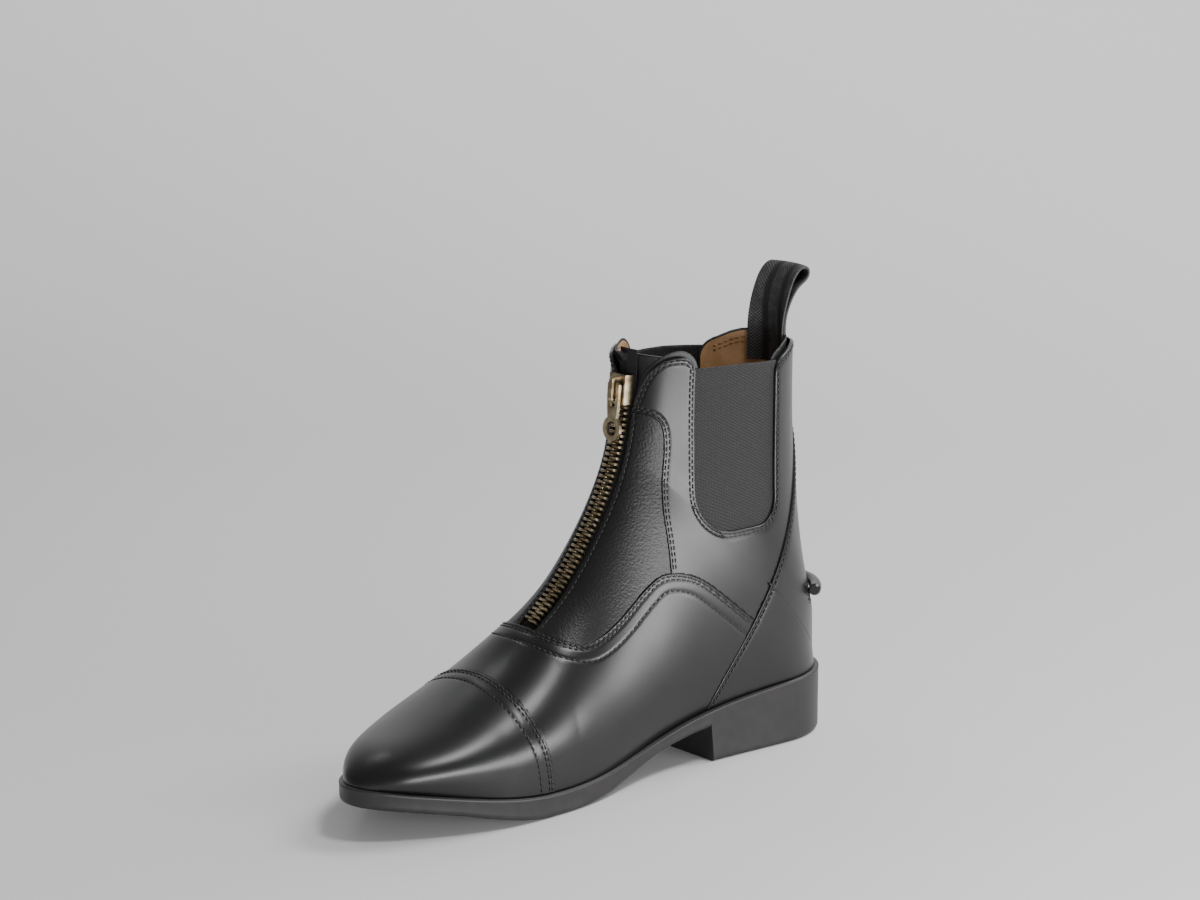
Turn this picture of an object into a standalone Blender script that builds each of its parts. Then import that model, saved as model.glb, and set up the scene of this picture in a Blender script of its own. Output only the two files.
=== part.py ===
"""Left paddock boot with a front zip, built the way a maker puts one together.

Blender 4.5, metres, +Z up. The toe points to -X and the wearer's left, which is
the outer side of a left boot, is -Y. The floor is z = 0 under the sole.
Places along the boot are shares of the outsole's length, counted from the
heel's rear, and sideways places are shares of it too, positive to the outer side.
"""
from math import cos, pi, radians, sin

import bmesh
import bpy
import numpy as np
from mathutils import Matrix, Vector

MM = 0.001
LENGTH = 265 * MM            # outsole, heel to toe
LEDGE = 2.4 * MM             # how far the sole's rim stands out from the upper
GAP = 0.3 * MM               # play between pieces that are glued or sewn
WALL = 1.8 * MM              # upper with its lining
WALL_OUT = -1.8 * MM         # outer face of the upper, under the overlays
OVERLAY_IN = WALL_OUT + GAP
TOE_ROUND = 0.26             # share of the length in which the toe rounds off
HEEL_ROUND = 0.13
HEEL_BREAST = 0.302          # share along where the heel block ends
BREAST_SLOPE = 0.006
ZIP_END = 0.385              # row of the last where the zip ends
VAMP_END = 0.45              # row up to which the vamp isn't slit
ZIP_LEAN = -0.0193           # slope to the inner side of the plane between the quarters
SLOT = 13.0 * MM             # width of the zip's slot
CHAIN = 8.0 * MM
TEETH_TOP = 0.4 * MM         # above the surface of the last
TAB_ANGLE = -1.5             # degrees from the zip at which the tab rests, on the chain
SEAT_GIRTH = 0.08            # share of the girth in which the wall turns upright at its foot
SEAT_ROWS = 0.05
SEAT_SOFT = 0.001            # share in which the upper's back turns upright above the seat
MERGE = 0.001 * MM
WELD = 0.01 * MM
ROWS_TOE = 6
ROWS_VAMP = 5
ROWS_QUARTER = 6
HEEL_ROWS = (0.06, 0.032, 0.014)   # rows close together round the heel, before the closed one
ROWS_LEG = 6
ROWS_GUARD = 19
ROWS_TAPE = 28
COLUMNS = 12                 # on each side

# Sole: along, centre offset, half width, height of the rim, height of the bottom.
SOLE = (
    (0.00, 0.000, 0.109, 0.112, 0.000),
    (0.12, 0.000, 0.108, 0.108, 0.000),
    (0.25, 0.000, 0.103, 0.098, 0.067),
    (0.33, 0.001, 0.100, 0.086, 0.058),
    (0.42, 0.002, 0.102, 0.066, 0.042),
    (0.56, -0.006, 0.136, 0.041, 0.006),
    (0.62, -0.010, 0.150, 0.038, 0.000),
    (0.70, -0.014, 0.158, 0.039, 0.000),
    (0.85, -0.004, 0.141, 0.062, 0.032),
    (1.00, 0.014, 0.108, 0.088, 0.057),
)

# Last, a row for each section plane from the toe to the collar: where the plane
# meets the sole or the back seam (along, height), where it meets the crown
# (along, height, centre offset), half widths at the outer and the inner bulge,
# share of the section's height at which it bulges, and fullness of its shoulder.
LAST = (
    (0.991, 0.088, 0.991, 0.089, 0.014, 0.000, 0.000, 0.02, 0.10),
    (0.975, 0.085, 0.974, 0.112, 0.010, 0.036, 0.036, 0.18, 0.10),
    (0.933, 0.076, 0.930, 0.134, 0.004, 0.080, 0.079, 0.32, 0.10),
    (0.870, 0.065, 0.866, 0.152, -0.004, 0.115, 0.113, 0.38, 0.08),
    (0.790, 0.050, 0.780, 0.181, -0.010, 0.141, 0.144, 0.34, 0.03),
    (0.700, 0.038, 0.690, 0.222, -0.014, 0.148, 0.156, 0.30, 0.00),
    (0.600, 0.036, 0.615, 0.274, -0.012, 0.140, 0.148, 0.28, 0.00),
    (0.490, 0.051, 0.555, 0.328, -0.009, 0.122, 0.132, 0.30, 0.00),
    (0.370, 0.076, 0.512, 0.388, -0.005, 0.112, 0.122, 0.34, 0.02),
    (0.240, 0.098, 0.479, 0.443, -0.003, 0.112, 0.118, 0.40, 0.06),
    (0.110, 0.108, 0.456, 0.497, 0.000, 0.113, 0.115, 0.44, 0.08),
    (0.009, 0.112, 0.441, 0.541, 0.000, 0.112, 0.114, 0.46, 0.10),
    (0.018, 0.225, 0.431, 0.581, 0.000, 0.108, 0.110, 0.48, 0.12),
    (0.046, 0.370, 0.424, 0.625, 0.000, 0.105, 0.107, 0.50, 0.12),
    (0.058, 0.520, 0.420, 0.670, 0.000, 0.106, 0.107, 0.50, 0.12),
    (0.070, 0.670, 0.419, 0.705, 0.000, 0.109, 0.109, 0.50, 0.12),
)
CLOSED_ROW = 11              # from this row of the last on, the section is closed

# Seams as seen from the side: along, height. Both sides of the boot share them.
TOE_SEAM = ((0.676, 0.02), (0.683, 0.08), (0.702, 0.155), (0.711, 0.200), (0.709, 0.30))
VAMP_SEAM = (
    (0.700, 0.330), (0.640, 0.288), (0.600, 0.260), (0.566, 0.252), (0.536, 0.260),
    (0.491, 0.287), (0.442, 0.325), (0.415, 0.340), (0.381, 0.340), (0.340, 0.325),
    (0.302, 0.298), (0.222, 0.234),
)
COUNTER_SEAM = (
    (0.325, 0.050), (0.308, 0.100), (0.264, 0.174), (0.222, 0.234), (0.189, 0.283),
    (0.150, 0.340), (0.120, 0.385), (0.094, 0.440), (0.076, 0.500), (0.060, 0.555),
    (0.030, 0.600), (-0.030, 0.640),
)
QUARTER_FRONT = (
    (0.396, 0.30), (0.396, 0.343), (0.397, 0.392), (0.399, 0.442), (0.395, 0.491),
    (0.389, 0.540), (0.389, 0.570), (0.394, 0.589), (0.406, 0.600), (0.420, 0.604), (0.50, 0.606),
)
GORE_FRONT = 0.340
GORE_REAR = 0.163
GORE_BOTTOM = 0.394
GORE_FRONT_ROUND = 0.075
GORE_REAR_ROUND = 0.045
# The sole's edge as rings: inset, drop from the rim, rise from the bottom, in mm.
SOLE_RINGS = ((1.6, 0.0, None), (0.5, -0.25, None), (0.0, -0.9, None),
              (0.0, None, 1.8), (0.5, None, 0.6), (1.7, None, 0.0))

# Bars cut across the tread: first and last place along, how many, half length.
TREAD = ((0.56, 0.76, 6, 27 * MM), (0.07, 0.24, 4, 17 * MM))
TREAD_BAR = 2.8 * MM
TREAD_DEPTH = 1.3 * MM
BELOW = 5 * MM               # how far the bars' cutters reach under the floor

GORE_LAP = 4.0 * MM          # elastic held under the quarter's edge
QUARTER_TOP = ((-0.1, 0.650), (0.1, 0.659), (0.3, 0.680), (0.6, 0.696))
BEYOND = 1.2                 # share that reaches past the boot on any side

# Bodies between two distances off the last.
FACING_OUT = -0.8 * MM
QUARTER_OUT = -0.3 * MM
CAP_OUT = 0.5 * MM
GORE_OUT = WALL_OUT
GORE_THICK = 1.5 * MM
TAPE_OUT = -2.9 * MM
TAPE_THICK = 0.6 * MM
GUARD_THICK = 1.3 * MM
GUARD_REACH = 3              # columns behind the facing
TEETH_PITCH = 4.2 * MM
RIB_DEPTH = 0.8 * MM
INSOLE_THICK = 2.2 * MM
SPUR_ROLL = 5.5 * MM
SPUR_HEIGHT = 66 * MM
SPUR_REACH = 0.115           # share of the girth on each side of the back seam

# Slider and its tab, in their own axes: across, up the zip, out of it.
SLIDER_ROW = 0.888
SLIDER_LENGTH = 13 * MM
SLIDER_WIDTH = 10.4 * MM
SLIDER_PLATE = 1.4 * MM
SLIDER_FLANGE = 0.8 * MM
BRIDGE_WIDTH = 2.2 * MM
BRIDGE_THICK = 1.2 * MM
BRIDGE_INSET = 1.2 * MM      # from the slider's ends to the bridge's feet
BRIDGE_CORNER = (0.4 * MM, 0.2 * MM)
PIVOT_ROOM = 1.3 * MM        # from plate to axis, and from axis to bridge
PIVOT_RISE = 2.2 * MM        # from the slider's middle to the axis, up the zip
TAB_THICK = 1.5 * MM
TAB_LENGTH = 26 * MM
TAB_SHOULDER = 7.4 * MM
TAB_NECK = 6.4 * MM
TAB_CORNER = 0.8 * MM
TAB_SHOULDER_END = 6 * MM    # below the bar
TAB_NECK_START = 12 * MM
TAB_RING = 11 * MM
TAB_HOLE = 6.4 * MM
TAB_SLOT = (3.4 * MM, 9.5 * MM)
TAB_SLOT_START = 0.2 * MM    # below the bar

# Pull loop, as seen from the side: along, height of the strap's middle.
LOOP_PATH = (
    (0.1225, 0.640), (0.1225, 0.690), (0.119, 0.735), (0.105, 0.772), (0.080, 0.794),
    (0.052, 0.799), (0.040, 0.791), (0.052, 0.782), (0.074, 0.776), (0.096, 0.756),
    (0.1105, 0.725), (0.1155, 0.690), (0.1155, 0.640),
)
LOOP_WIDTH = 25 * MM
LOOP_THICK = 1.3 * MM
LOOP_BEND = 14.0 * MM        # radius of the collar's back, which the strap follows

# Smooth curves through a few stations

def spline(stations, values):
    """A natural cubic spline: returns a function of the station."""
    x = np.asarray(stations, float)
    y = np.asarray(values, float)
    step = np.diff(x)
    count = len(x)
    matrix = np.eye(count)
    right = np.zeros_like(y)
    for i in range(1, count - 1):
        matrix[i, i - 1:i + 2] = step[i - 1], 2 * (step[i - 1] + step[i]), step[i]
        right[i] = 6 * ((y[i + 1] - y[i]) / step[i] - (y[i] - y[i - 1]) / step[i - 1])
    bend = np.linalg.solve(matrix, right)

    def at(place):
        place = np.asarray(place, float)
        i = np.clip(np.searchsorted(x, place, side="right") - 1, 0, count - 2)
        ahead = (x[i + 1] - place)[..., None]
        behind = (place - x[i])[..., None]
        gap = step[i][..., None]
        cubic = (bend[i] * ahead ** 3 + bend[i + 1] * behind ** 3) / (6 * gap)
        low = (y[i] / gap - bend[i] * gap / 6) * ahead
        high = (y[i + 1] / gap - bend[i + 1] * gap / 6) * behind
        return cubic + low + high

    return at


def smooth_line(points, count):
    """The same number of points along a smooth line through the given ones."""
    points = np.asarray(points, float)
    reach = np.r_[0, np.cumsum(np.linalg.norm(np.diff(points, axis=0), axis=1))]
    return spline(reach, points)(np.linspace(0, reach[-1], count))


def shift_line(line, distance):
    """Moves a line to its left by a distance, in its own plane."""
    run = np.gradient(line, axis=0)
    run /= np.linalg.norm(run, axis=1)[:, None]
    return line + distance * np.c_[-run[:, 1], run[:, 0]]


sole_spline = spline([row[0] for row in SOLE], [row[1:4] for row in SOLE])


def last_stations():
    """The last's rows after one mirrored in front of the toe, which makes its tip round."""
    tip, second = LAST[0], LAST[1]
    mirrored = (*second[:3], 2 * tip[3] - second[3], second[4], -second[5], -second[6], *second[7:])
    step = 1 / (len(LAST) - 1)
    return np.linspace(-step, 1, len(LAST) + 1), (mirrored, *LAST)


last_spline = spline(*last_stations())
CLOSED = CLOSED_ROW / (len(LAST) - 1)


def sole_at(along, inset=0.0):
    """Centre offset, half width less an inset, and rim height of the sole, as shares."""
    along = np.clip((np.asarray(along, float) - inset) / (1 - 2 * inset), 0, 1)
    centre, half, rim = np.moveaxis(sole_spline(along), -1, 0)
    half = half - inset
    toe = np.clip((along - 1 + TOE_ROUND) / TOE_ROUND, 0, 1)
    heel = np.clip((HEEL_ROUND - along) / HEEL_ROUND, 0, 1)
    return centre, half * np.sqrt(1 - toe ** 2) * np.sqrt(1 - heel ** 2), rim


def side_shift():
    """Sideways move that puts the middle of the sole's width on y = 0."""
    centre, half, rim = sole_at(np.linspace(0, 1, 400))
    return ((centre + half).max() + (centre - half).min()) / 2 * LENGTH


SIDE_SHIFT = side_shift()


def world(along, aside, height):
    """From metres along, aside and up to the boot's frame."""
    return np.stack([LENGTH / 2 - along, SIDE_SHIFT - aside, height], -1)


def last_point(row, girth):
    """Point of the last's surface. Girth runs 0..1 from the outer to the inner edge."""
    row, girth = np.broadcast_arrays(np.asarray(row, float), np.asarray(girth, float))
    section = np.moveaxis(last_spline(row), -1, 0)
    foot, foot_z, top, top_z, top_offset, outer, inner, bulge, full = section
    ledge = LEDGE / LENGTH
    past = foot - ledge
    foot = ledge + (past + np.hypot(past, SEAT_SOFT)) / 2
    centre, half, rim = sole_at(foot, ledge)
    closed = row >= CLOSED
    open_half = np.where(closed, 0, half)
    centre = np.where(closed, 0, centre)
    foot_z = np.where(closed, foot_z, rim) + GAP / LENGTH
    widest = np.maximum(np.where(girth <= 0.5, outer, inner), open_half * 1.01 + 1e-6)
    start = np.arcsin(np.clip(open_half / widest, 0, 0.995))
    ratio = bulge * (1 - 2 * start / pi) / np.cos(start) / (1 - bulge)
    low_share = ratio / (1 + ratio)
    climb = 1 - np.abs(2 * girth - 1)
    low = climb < low_share
    turn = start + (pi / 2 - start) * np.clip(climb / low_share, 0, 1)
    rise = pi / 2 * np.clip((climb - low_share) / (1 - low_share), 0, 1)
    shoulder = widest * np.cos(rise) * (1 + full * np.sin(rise) ** 2)
    width = np.where(low, widest * np.sin(turn), shoulder)
    up_low = bulge * (1 - np.cos(turn) / np.cos(start))
    up = np.where(low, up_low, bulge + (1 - bulge) * np.sin(rise))
    side = np.where(girth <= 0.5, 1.0, -1.0)
    along = foot + (top - foot) * up
    height = foot_z + (top_z - foot_z) * up
    aside = centre + (top_offset - centre) * up + side * width
    return np.stack([along, aside, height], -1) * LENGTH


def last_normal(row, girth):
    """Outward normal of the last, level along the open bottom edge."""
    row, girth = np.broadcast_arrays(np.asarray(row, float), np.asarray(girth, float))
    small = 0.002
    near = np.clip(row, 3 * small, 1 - small)
    near = np.where(np.abs(near - CLOSED) < small, CLOSED + small, near)
    within = np.clip(girth, small, 1 - small)
    middle = np.abs(within - 0.5) < small
    within = np.where(middle, 0.5, within)
    step = np.where(middle, small, small / 2)
    along = last_point(near + small, within) - last_point(near - small, within)
    across = last_point(near, within + step) - last_point(near, within - step)
    normal = np.cross(along, across)
    normal = np.where((row < small / 2)[..., None], [1.0, 0.0, 0.0], normal)
    climb = 1 - np.abs(2 * girth - 1)
    on_back = (row >= CLOSED) & (climb < small)
    normal[..., 1] = np.where(on_back, 0, normal[..., 1])
    over_seat = np.clip(climb / SEAT_GIRTH, 0, 1)
    over_heel = np.clip((row - CLOSED) / SEAT_ROWS, 0, 1)
    normal[..., 2] *= np.maximum(over_seat, over_heel)
    return normal / np.linalg.norm(normal, axis=-1)[..., None]


def surface(row, girth, off):
    """Point at a distance off the last, in the boot's frame."""
    point = last_point(row, girth) + last_normal(row, girth) * off
    return world(point[..., 0], point[..., 1], point[..., 2])


# Solids

def mesh_object(name, points, faces, material):
    """A closed mesh object in the boot's collection, with its faces turned outward."""
    mesh = bpy.data.meshes.new(name)
    mesh.from_pydata([tuple(point) for point in points], [], faces)
    shape = bmesh.new()
    shape.from_mesh(mesh)
    bmesh.ops.remove_doubles(shape, verts=shape.verts, dist=MERGE)
    bmesh.ops.dissolve_degenerate(shape, dist=MERGE, edges=shape.edges)
    bmesh.ops.recalc_face_normals(shape, faces=shape.faces)
    shape.to_mesh(mesh)
    shape.free()
    mesh.materials.append(material)
    thing = bpy.data.objects.new(name, mesh)
    boot.objects.link(thing)
    return thing


def wall_solid(name, sheets, low, high, material):
    """A wall between two distances off the last, over sheets of (row, girth) points.

    Every layer splits a square of the sheet along the same diagonal, the shorter one
    on the last, so that layers lie evenly over each other.
    """
    outer, inner, triangles = [], [], []
    for rows, girths in sheets:
        first = len(outer)
        base = last_point(rows, girths)
        down_right = np.linalg.norm(base[1:, 1:] - base[:-1, :-1], axis=-1)
        down_left = np.linalg.norm(base[1:, :-1] - base[:-1, 1:], axis=-1)
        outer += list(surface(rows, girths, high).reshape(-1, 3))
        inner += list(surface(rows, girths, low).reshape(-1, 3))
        down, across = rows.shape
        for i in range(down - 1):
            for j in range(across - 1):
                k = first + i * across + j
                if down_right[i, j] <= down_left[i, j]:
                    triangles.append((k, k + 1, k + across + 1))
                    triangles.append((k, k + across + 1, k + across))
                else:
                    triangles.append((k, k + 1, k + across))
                    triangles.append((k + 1, k + across + 1, k + across))
    keys, place = {}, []
    for point in outer:
        key = tuple(np.round(point / WELD).astype(int))
        place.append(keys.setdefault(key, len(place)))
    triangles = [tuple(place[k] for k in corners) for corners in triangles]
    triangles = [corners for corners in triangles if len(set(corners)) == 3]
    count = len(outer)
    faces = triangles + [tuple(k + count for k in reversed(corners)) for corners in triangles]
    edges = {(a, b) for corners in triangles for a, b in zip(corners, corners[1:] + corners[:1])}
    for a, b in sorted(edges):
        if (b, a) not in edges:
            faces.append((b, a, a + count, b + count))
    return mesh_object(name, outer + inner, faces, material)


def girth_share(rows, width):
    """Half of a width across the crown, as a share of the girth at each row."""
    rows = np.maximum(np.asarray(rows, float), ZIP_END)
    small = 0.002
    reach = last_point(rows, 0.5 + small) - last_point(rows, 0.5 - small)
    return width / 2 / (np.linalg.norm(reach, axis=-1) / (2 * small))


def boot_rows():
    """Rows of the wall's mesh, close together where the toe is tightly curved."""
    toe = ZIP_END * 0.45 * np.linspace(0, 1, ROWS_TOE + 1) ** 1.2
    vamp = np.linspace(toe[-1], ZIP_END, ROWS_VAMP + 1)[1:]
    quarter_rows = np.linspace(ZIP_END, CLOSED - HEEL_ROWS[0], ROWS_QUARTER + 1)[1:]
    heel = CLOSED - np.array(HEEL_ROWS[1:])
    leg = np.linspace(CLOSED, 1, ROWS_LEG + 1)
    return np.r_[toe, vamp, quarter_rows, heel, leg]


def side_girths(rows):
    """Girths from the outer foot of the wall to the slot's edge, a line for each row."""
    share = np.linspace(0, 1, COLUMNS + 1)[None, :]
    return share * (0.5 - girth_share(rows, SLOT)[:, None])


def whole_wall(name, low, high, material, zip_end=ZIP_END):
    """The boot's whole wall, slit at the zip. Every layer is cut from one of these."""
    rows = boot_rows()
    girths = side_girths(rows)
    row = rows[:, None] + 0 * girths
    below = rows[rows < zip_end + 1e-6]
    edge = side_girths(below)[:, -1:]
    middle = np.concatenate([edge, 0 * edge + 0.5, 1 - edge], axis=1)
    sheets = [(row, girths), (row, 1 - girths[:, ::-1]), (below[:, None] + 0 * middle, middle)]
    return wall_solid(name, sheets, low, high, material)


# Cutters

def prism(name, outline, side=0):
    """A block with an outline seen from the side. Side 1 is the outer half, -1 the inner."""
    points = np.asarray(outline, float) * LENGTH
    along, height = points.T
    reach = BEYOND * LENGTH
    middle = ZIP_LEAN * along + side * GAP / 2
    ends = {0: (-reach, reach), 1: (middle, reach), -1: (-reach, middle)}[side]
    count = len(points)
    corners = [corner for aside in ends for corner in world(along, aside + 0 * along, height)]
    faces = [tuple(range(count)), tuple(range(2 * count - 1, count - 1, -1))]
    for i in range(count):
        j = (i + 1) % count
        faces.append((j, i, i + count, j + count))
    cutter = mesh_object(name, corners, faces, cutter_material)
    boot.objects.unlink(cutter)
    cutters.objects.link(cutter)
    cutter.hide_render = True
    cutter.display_type = "WIRE"
    return cutter


def cut(thing, operation, *blocks):
    for block in blocks:
        step = thing.modifiers.new(operation.lower() + " " + block.name, "BOOLEAN")
        step.operation = operation
        step.solver = "EXACT"
        step.object = block
    return thing


def seam(points, move=0.0, count=28):
    """A seam as a smooth line, moved to its left by a distance in metres."""
    return shift_line(smooth_line(points, count), move / LENGTH)


def toe_outline(move):
    """Everything in front of the toe cap's seam."""
    line = seam(TOE_SEAM, move, 10)
    return [*line, (line[-1][0], BEYOND), (BEYOND, BEYOND), (BEYOND, -BEYOND), (line[0][0], -BEYOND)]


def under_vamp_seam(move):
    """Everything below the vamp's top seam."""
    line = seam(VAMP_SEAM, move)
    return [(BEYOND, BEYOND), *line, (-BEYOND, line[-1][1]), (-BEYOND, -BEYOND), (BEYOND, -BEYOND)]


def counter_outline(move):
    """Everything behind the counter's seam."""
    line = seam(COUNTER_SEAM, move)
    return [*line, (line[-1][0], BEYOND), (-BEYOND, BEYOND), (-BEYOND, -BEYOND), (line[0][0], -BEYOND)]


def quarter_outline():
    """The quarter's front edge, closed behind the boot and above the vamp's seam."""
    front = seam(QUARTER_FRONT)
    top = [(0.6, front[-1][1]), *reversed(QUARTER_TOP)]
    return [*front, *top, (-BEYOND, QUARTER_TOP[0][1]), (-BEYOND, -BEYOND), (front[0][0], -BEYOND)]


def facing_outline():
    """Everything in front of the quarter's front edge and below its tab."""
    front = seam(QUARTER_FRONT, -GAP)
    return [*front, (BEYOND, front[-1][1]), (BEYOND, -BEYOND), (front[0][0], -BEYOND)]


def arc(centre_x, centre_z, radius, start, end, steps=6):
    """Points of a round corner, angles in degrees from straight ahead."""
    turns = np.radians(np.linspace(start, end, steps + 1))
    return [(centre_x + radius * cos(t), centre_z + radius * sin(t)) for t in turns]


def gore_outline(grow):
    """The gore's U, grown all round by a distance in metres."""
    more = grow / LENGTH
    front = GORE_FRONT_ROUND
    rear = GORE_REAR_ROUND
    bottom = GORE_BOTTOM
    front_arc = arc(GORE_FRONT - front, bottom + front, front + more, 0, -90)
    rear_arc = arc(GORE_REAR + rear, bottom + rear, rear + more, 270, 180)
    return [(GORE_FRONT + more, BEYOND), *front_arc, *rear_arc, (GORE_REAR - more, BEYOND)]


# Pieces of the upper

def upper():
    wall = whole_wall("upper", WALL_OUT - WALL, WALL_OUT, lining_leather)
    return cut(wall, "DIFFERENCE", prism("gore_opening", gore_outline(GORE_LAP + GAP)))


def toe_cap():
    wall = whole_wall("toe_cap", OVERLAY_IN, CAP_OUT, shiny_leather)
    return cut(wall, "INTERSECT", prism("toe_block", toe_outline(-GAP / 2)))


def vamp():
    wall = whole_wall("vamp", OVERLAY_IN, 0, shiny_leather, VAMP_END)
    cut(wall, "INTERSECT", prism("vamp_block", under_vamp_seam(GAP / 2)))
    return cut(wall, "DIFFERENCE", prism("toe_space", toe_outline(GAP / 2)), counter_space)


def counter():
    wall = whole_wall("counter", OVERLAY_IN, CAP_OUT, shiny_leather)
    return cut(wall, "INTERSECT", prism("counter_block", counter_outline(GAP / 2)))


def quarter(name, side):
    wall = whole_wall(name, OVERLAY_IN, QUARTER_OUT, shiny_leather)
    cut(wall, "INTERSECT", prism(name + "_block", quarter_outline(), side))
    window = prism(name + "_window", gore_outline(0), side)
    return cut(wall, "DIFFERENCE", vamp_space, counter_space, window)


def facing(name, side):
    wall = whole_wall(name, OVERLAY_IN, FACING_OUT, soft_leather)
    cut(wall, "INTERSECT", prism(name + "_block", facing_outline(), side))
    return cut(wall, "DIFFERENCE", vamp_space)


def gore(name, side):
    wall = whole_wall(name, GORE_OUT - GORE_THICK, GORE_OUT, elastic)
    return cut(wall, "INTERSECT", prism(name + "_block", gore_outline(GORE_LAP), side))


def zip_guard():
    """The tongue behind the zip, along the wall's own columns."""
    rows = np.linspace(ZIP_END + 0.01, 1, ROWS_GUARD)
    girths = side_girths(rows)[:, -GUARD_REACH - 1:]
    middle = 0.5 + 0 * girths[:, :1]
    both = np.concatenate([girths, middle, 1 - girths[:, ::-1]], axis=1)
    row = rows[:, None] + 0 * both
    high = WALL_OUT - WALL - GAP
    return wall_solid("zip_guard", [(row, both)], high - GUARD_THICK, high, soft_leather)


def zip_tape():
    rows = np.linspace(ZIP_END + 0.01, 1, ROWS_TAPE)
    half = girth_share(rows, SLOT - 2 * GAP)[:, None]
    girths = 0.5 + half * np.array([-1, 0, 1])[None, :]
    row = rows[:, None] + 0 * girths
    return wall_solid("zip_tape", [(row, girths)], TAPE_OUT - TAPE_THICK, TAPE_OUT, tape_cloth)


def zip_teeth():
    """One brass strip from the zip's end to the slider, with a rib for each pair of teeth."""
    first = ZIP_END + 0.02
    rows = np.linspace(first, SLIDER_ROW, 200)
    path = last_point(rows, 0.5)
    reach = np.r_[0, np.cumsum(np.linalg.norm(np.diff(path, axis=0), axis=1))]
    ribs = int(reach[-1] / TEETH_PITCH)
    stops = np.interp(np.linspace(0, reach[-1], 2 * ribs + 1), reach, rows)
    half = girth_share(stops, CHAIN)
    base = TAPE_OUT + GAP
    points = []
    for i, row in enumerate(stops):
        top = TEETH_TOP if i % 2 else TEETH_TOP - RIB_DEPTH
        ring = ((-1, base), (-1, top), (0, top), (1, top), (1, base), (0, base))
        points += [surface(row, 0.5 + side * half[i], off) for side, off in ring]
    size = len(ring)
    faces = [tuple(range(size))]
    for k in range(0, size * (len(stops) - 1), size):
        for j in range(size):
            n = (j + 1) % size
            faces.append((k + j, k + n, k + size + n, k + size + j))
    last = size * (len(stops) - 1)
    faces.append(tuple(reversed(range(last, last + size))))
    return mesh_object("zip_teeth", points, faces, brass)


# Slider and tab

def zip_frame(row, off):
    """Axes at the zip: across, up the zip, out of it."""
    small = 0.01
    origin = Vector(surface(row, 0.5, off))
    up = Vector(surface(row + small, 0.5, off) - surface(row - small, 0.5, off)).normalized()
    normal = last_normal(row, 0.5)
    out = Vector((-normal[0], -normal[1], normal[2]))
    across = up.cross(out).normalized()
    out = across.cross(up)
    turn = Matrix((across, up, out)).transposed()
    return Matrix.Translation(origin) @ turn.to_4x4()


def extruded(name, outline, low, high, material, axes="xyz"):
    """A block from an outline in two of its axes, extruded along the third."""
    order = ["xyz".index(letter) for letter in axes]
    points = []
    for level in (low, high):
        for first, second in outline:
            point = [0.0, 0.0, 0.0]
            point[order[0]], point[order[1]], point[order[2]] = first, second, level
            points.append(point)
    count = len(outline)
    faces = [tuple(range(count)), tuple(range(2 * count - 1, count - 1, -1))]
    for i in range(count):
        j = (i + 1) % count
        faces.append((j, i, i + count, j + count))
    return mesh_object(name, points, faces, material)


def as_cutter(thing):
    boot.objects.unlink(thing)
    cutters.objects.link(thing)
    thing.hide_render = True
    thing.display_type = "WIRE"
    return thing


def zip_slider():
    """A plate with a flange on each side of the teeth and a bridge over the tab's bar."""
    half = SLIDER_WIDTH / 2
    inner = half - SLIDER_FLANGE
    under = TEETH_TOP + 2 * GAP
    plate = under + SLIDER_PLATE
    foot = TAPE_OUT + GAP
    section = [(-half, foot), (-half, plate), (half, plate), (half, foot),
               (inner, foot), (inner, under), (-inner, under), (-inner, foot)]
    body = extruded("zip_slider", section, -SLIDER_LENGTH / 2, SLIDER_LENGTH / 2, brass, "xzy")
    low = plate + 2 * PIVOT_ROOM
    leg = SLIDER_LENGTH / 2 - BRIDGE_INSET
    span = leg - BRIDGE_THICK
    root = plate - SLIDER_PLATE / 2
    back, drop = BRIDGE_CORNER
    arch = [(-leg, root), (-leg, low), (-span, low + BRIDGE_THICK), (span, low + BRIDGE_THICK),
            (leg, low), (leg, root), (span, root), (span, low - drop), (span - back, low),
            (-span + back, low), (-span, low - drop), (-span, root)]
    bridge = extruded("bridge", arch, -BRIDGE_WIDTH / 2, BRIDGE_WIDTH / 2, brass, "yzx")
    frame = zip_frame(SLIDER_ROW, 0)
    body.matrix_world = frame
    bridge.matrix_world = frame
    return cut(body, "UNION", as_cutter(bridge))


def tab_outline():
    """Shoulders round the bar, a neck, and a ring at the end."""
    top = TAB_THICK / 2
    ring = TAB_RING / 2
    centre = -(TAB_LENGTH - top - ring)
    shoulder = TAB_SHOULDER / 2
    neck = TAB_NECK / 2
    start = 60                   # degrees at which the ring leaves the neck
    right = [(shoulder - TAB_CORNER, top), (shoulder, top - TAB_CORNER),
             (shoulder, -TAB_SHOULDER_END), (neck, -TAB_NECK_START)]
    round_end = [(ring * cos(t), centre + ring * sin(t))
                 for t in np.radians(np.linspace(start, -180 - start, 17))]
    return right + round_end + [(-x, y) for x, y in reversed(right)]


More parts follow.
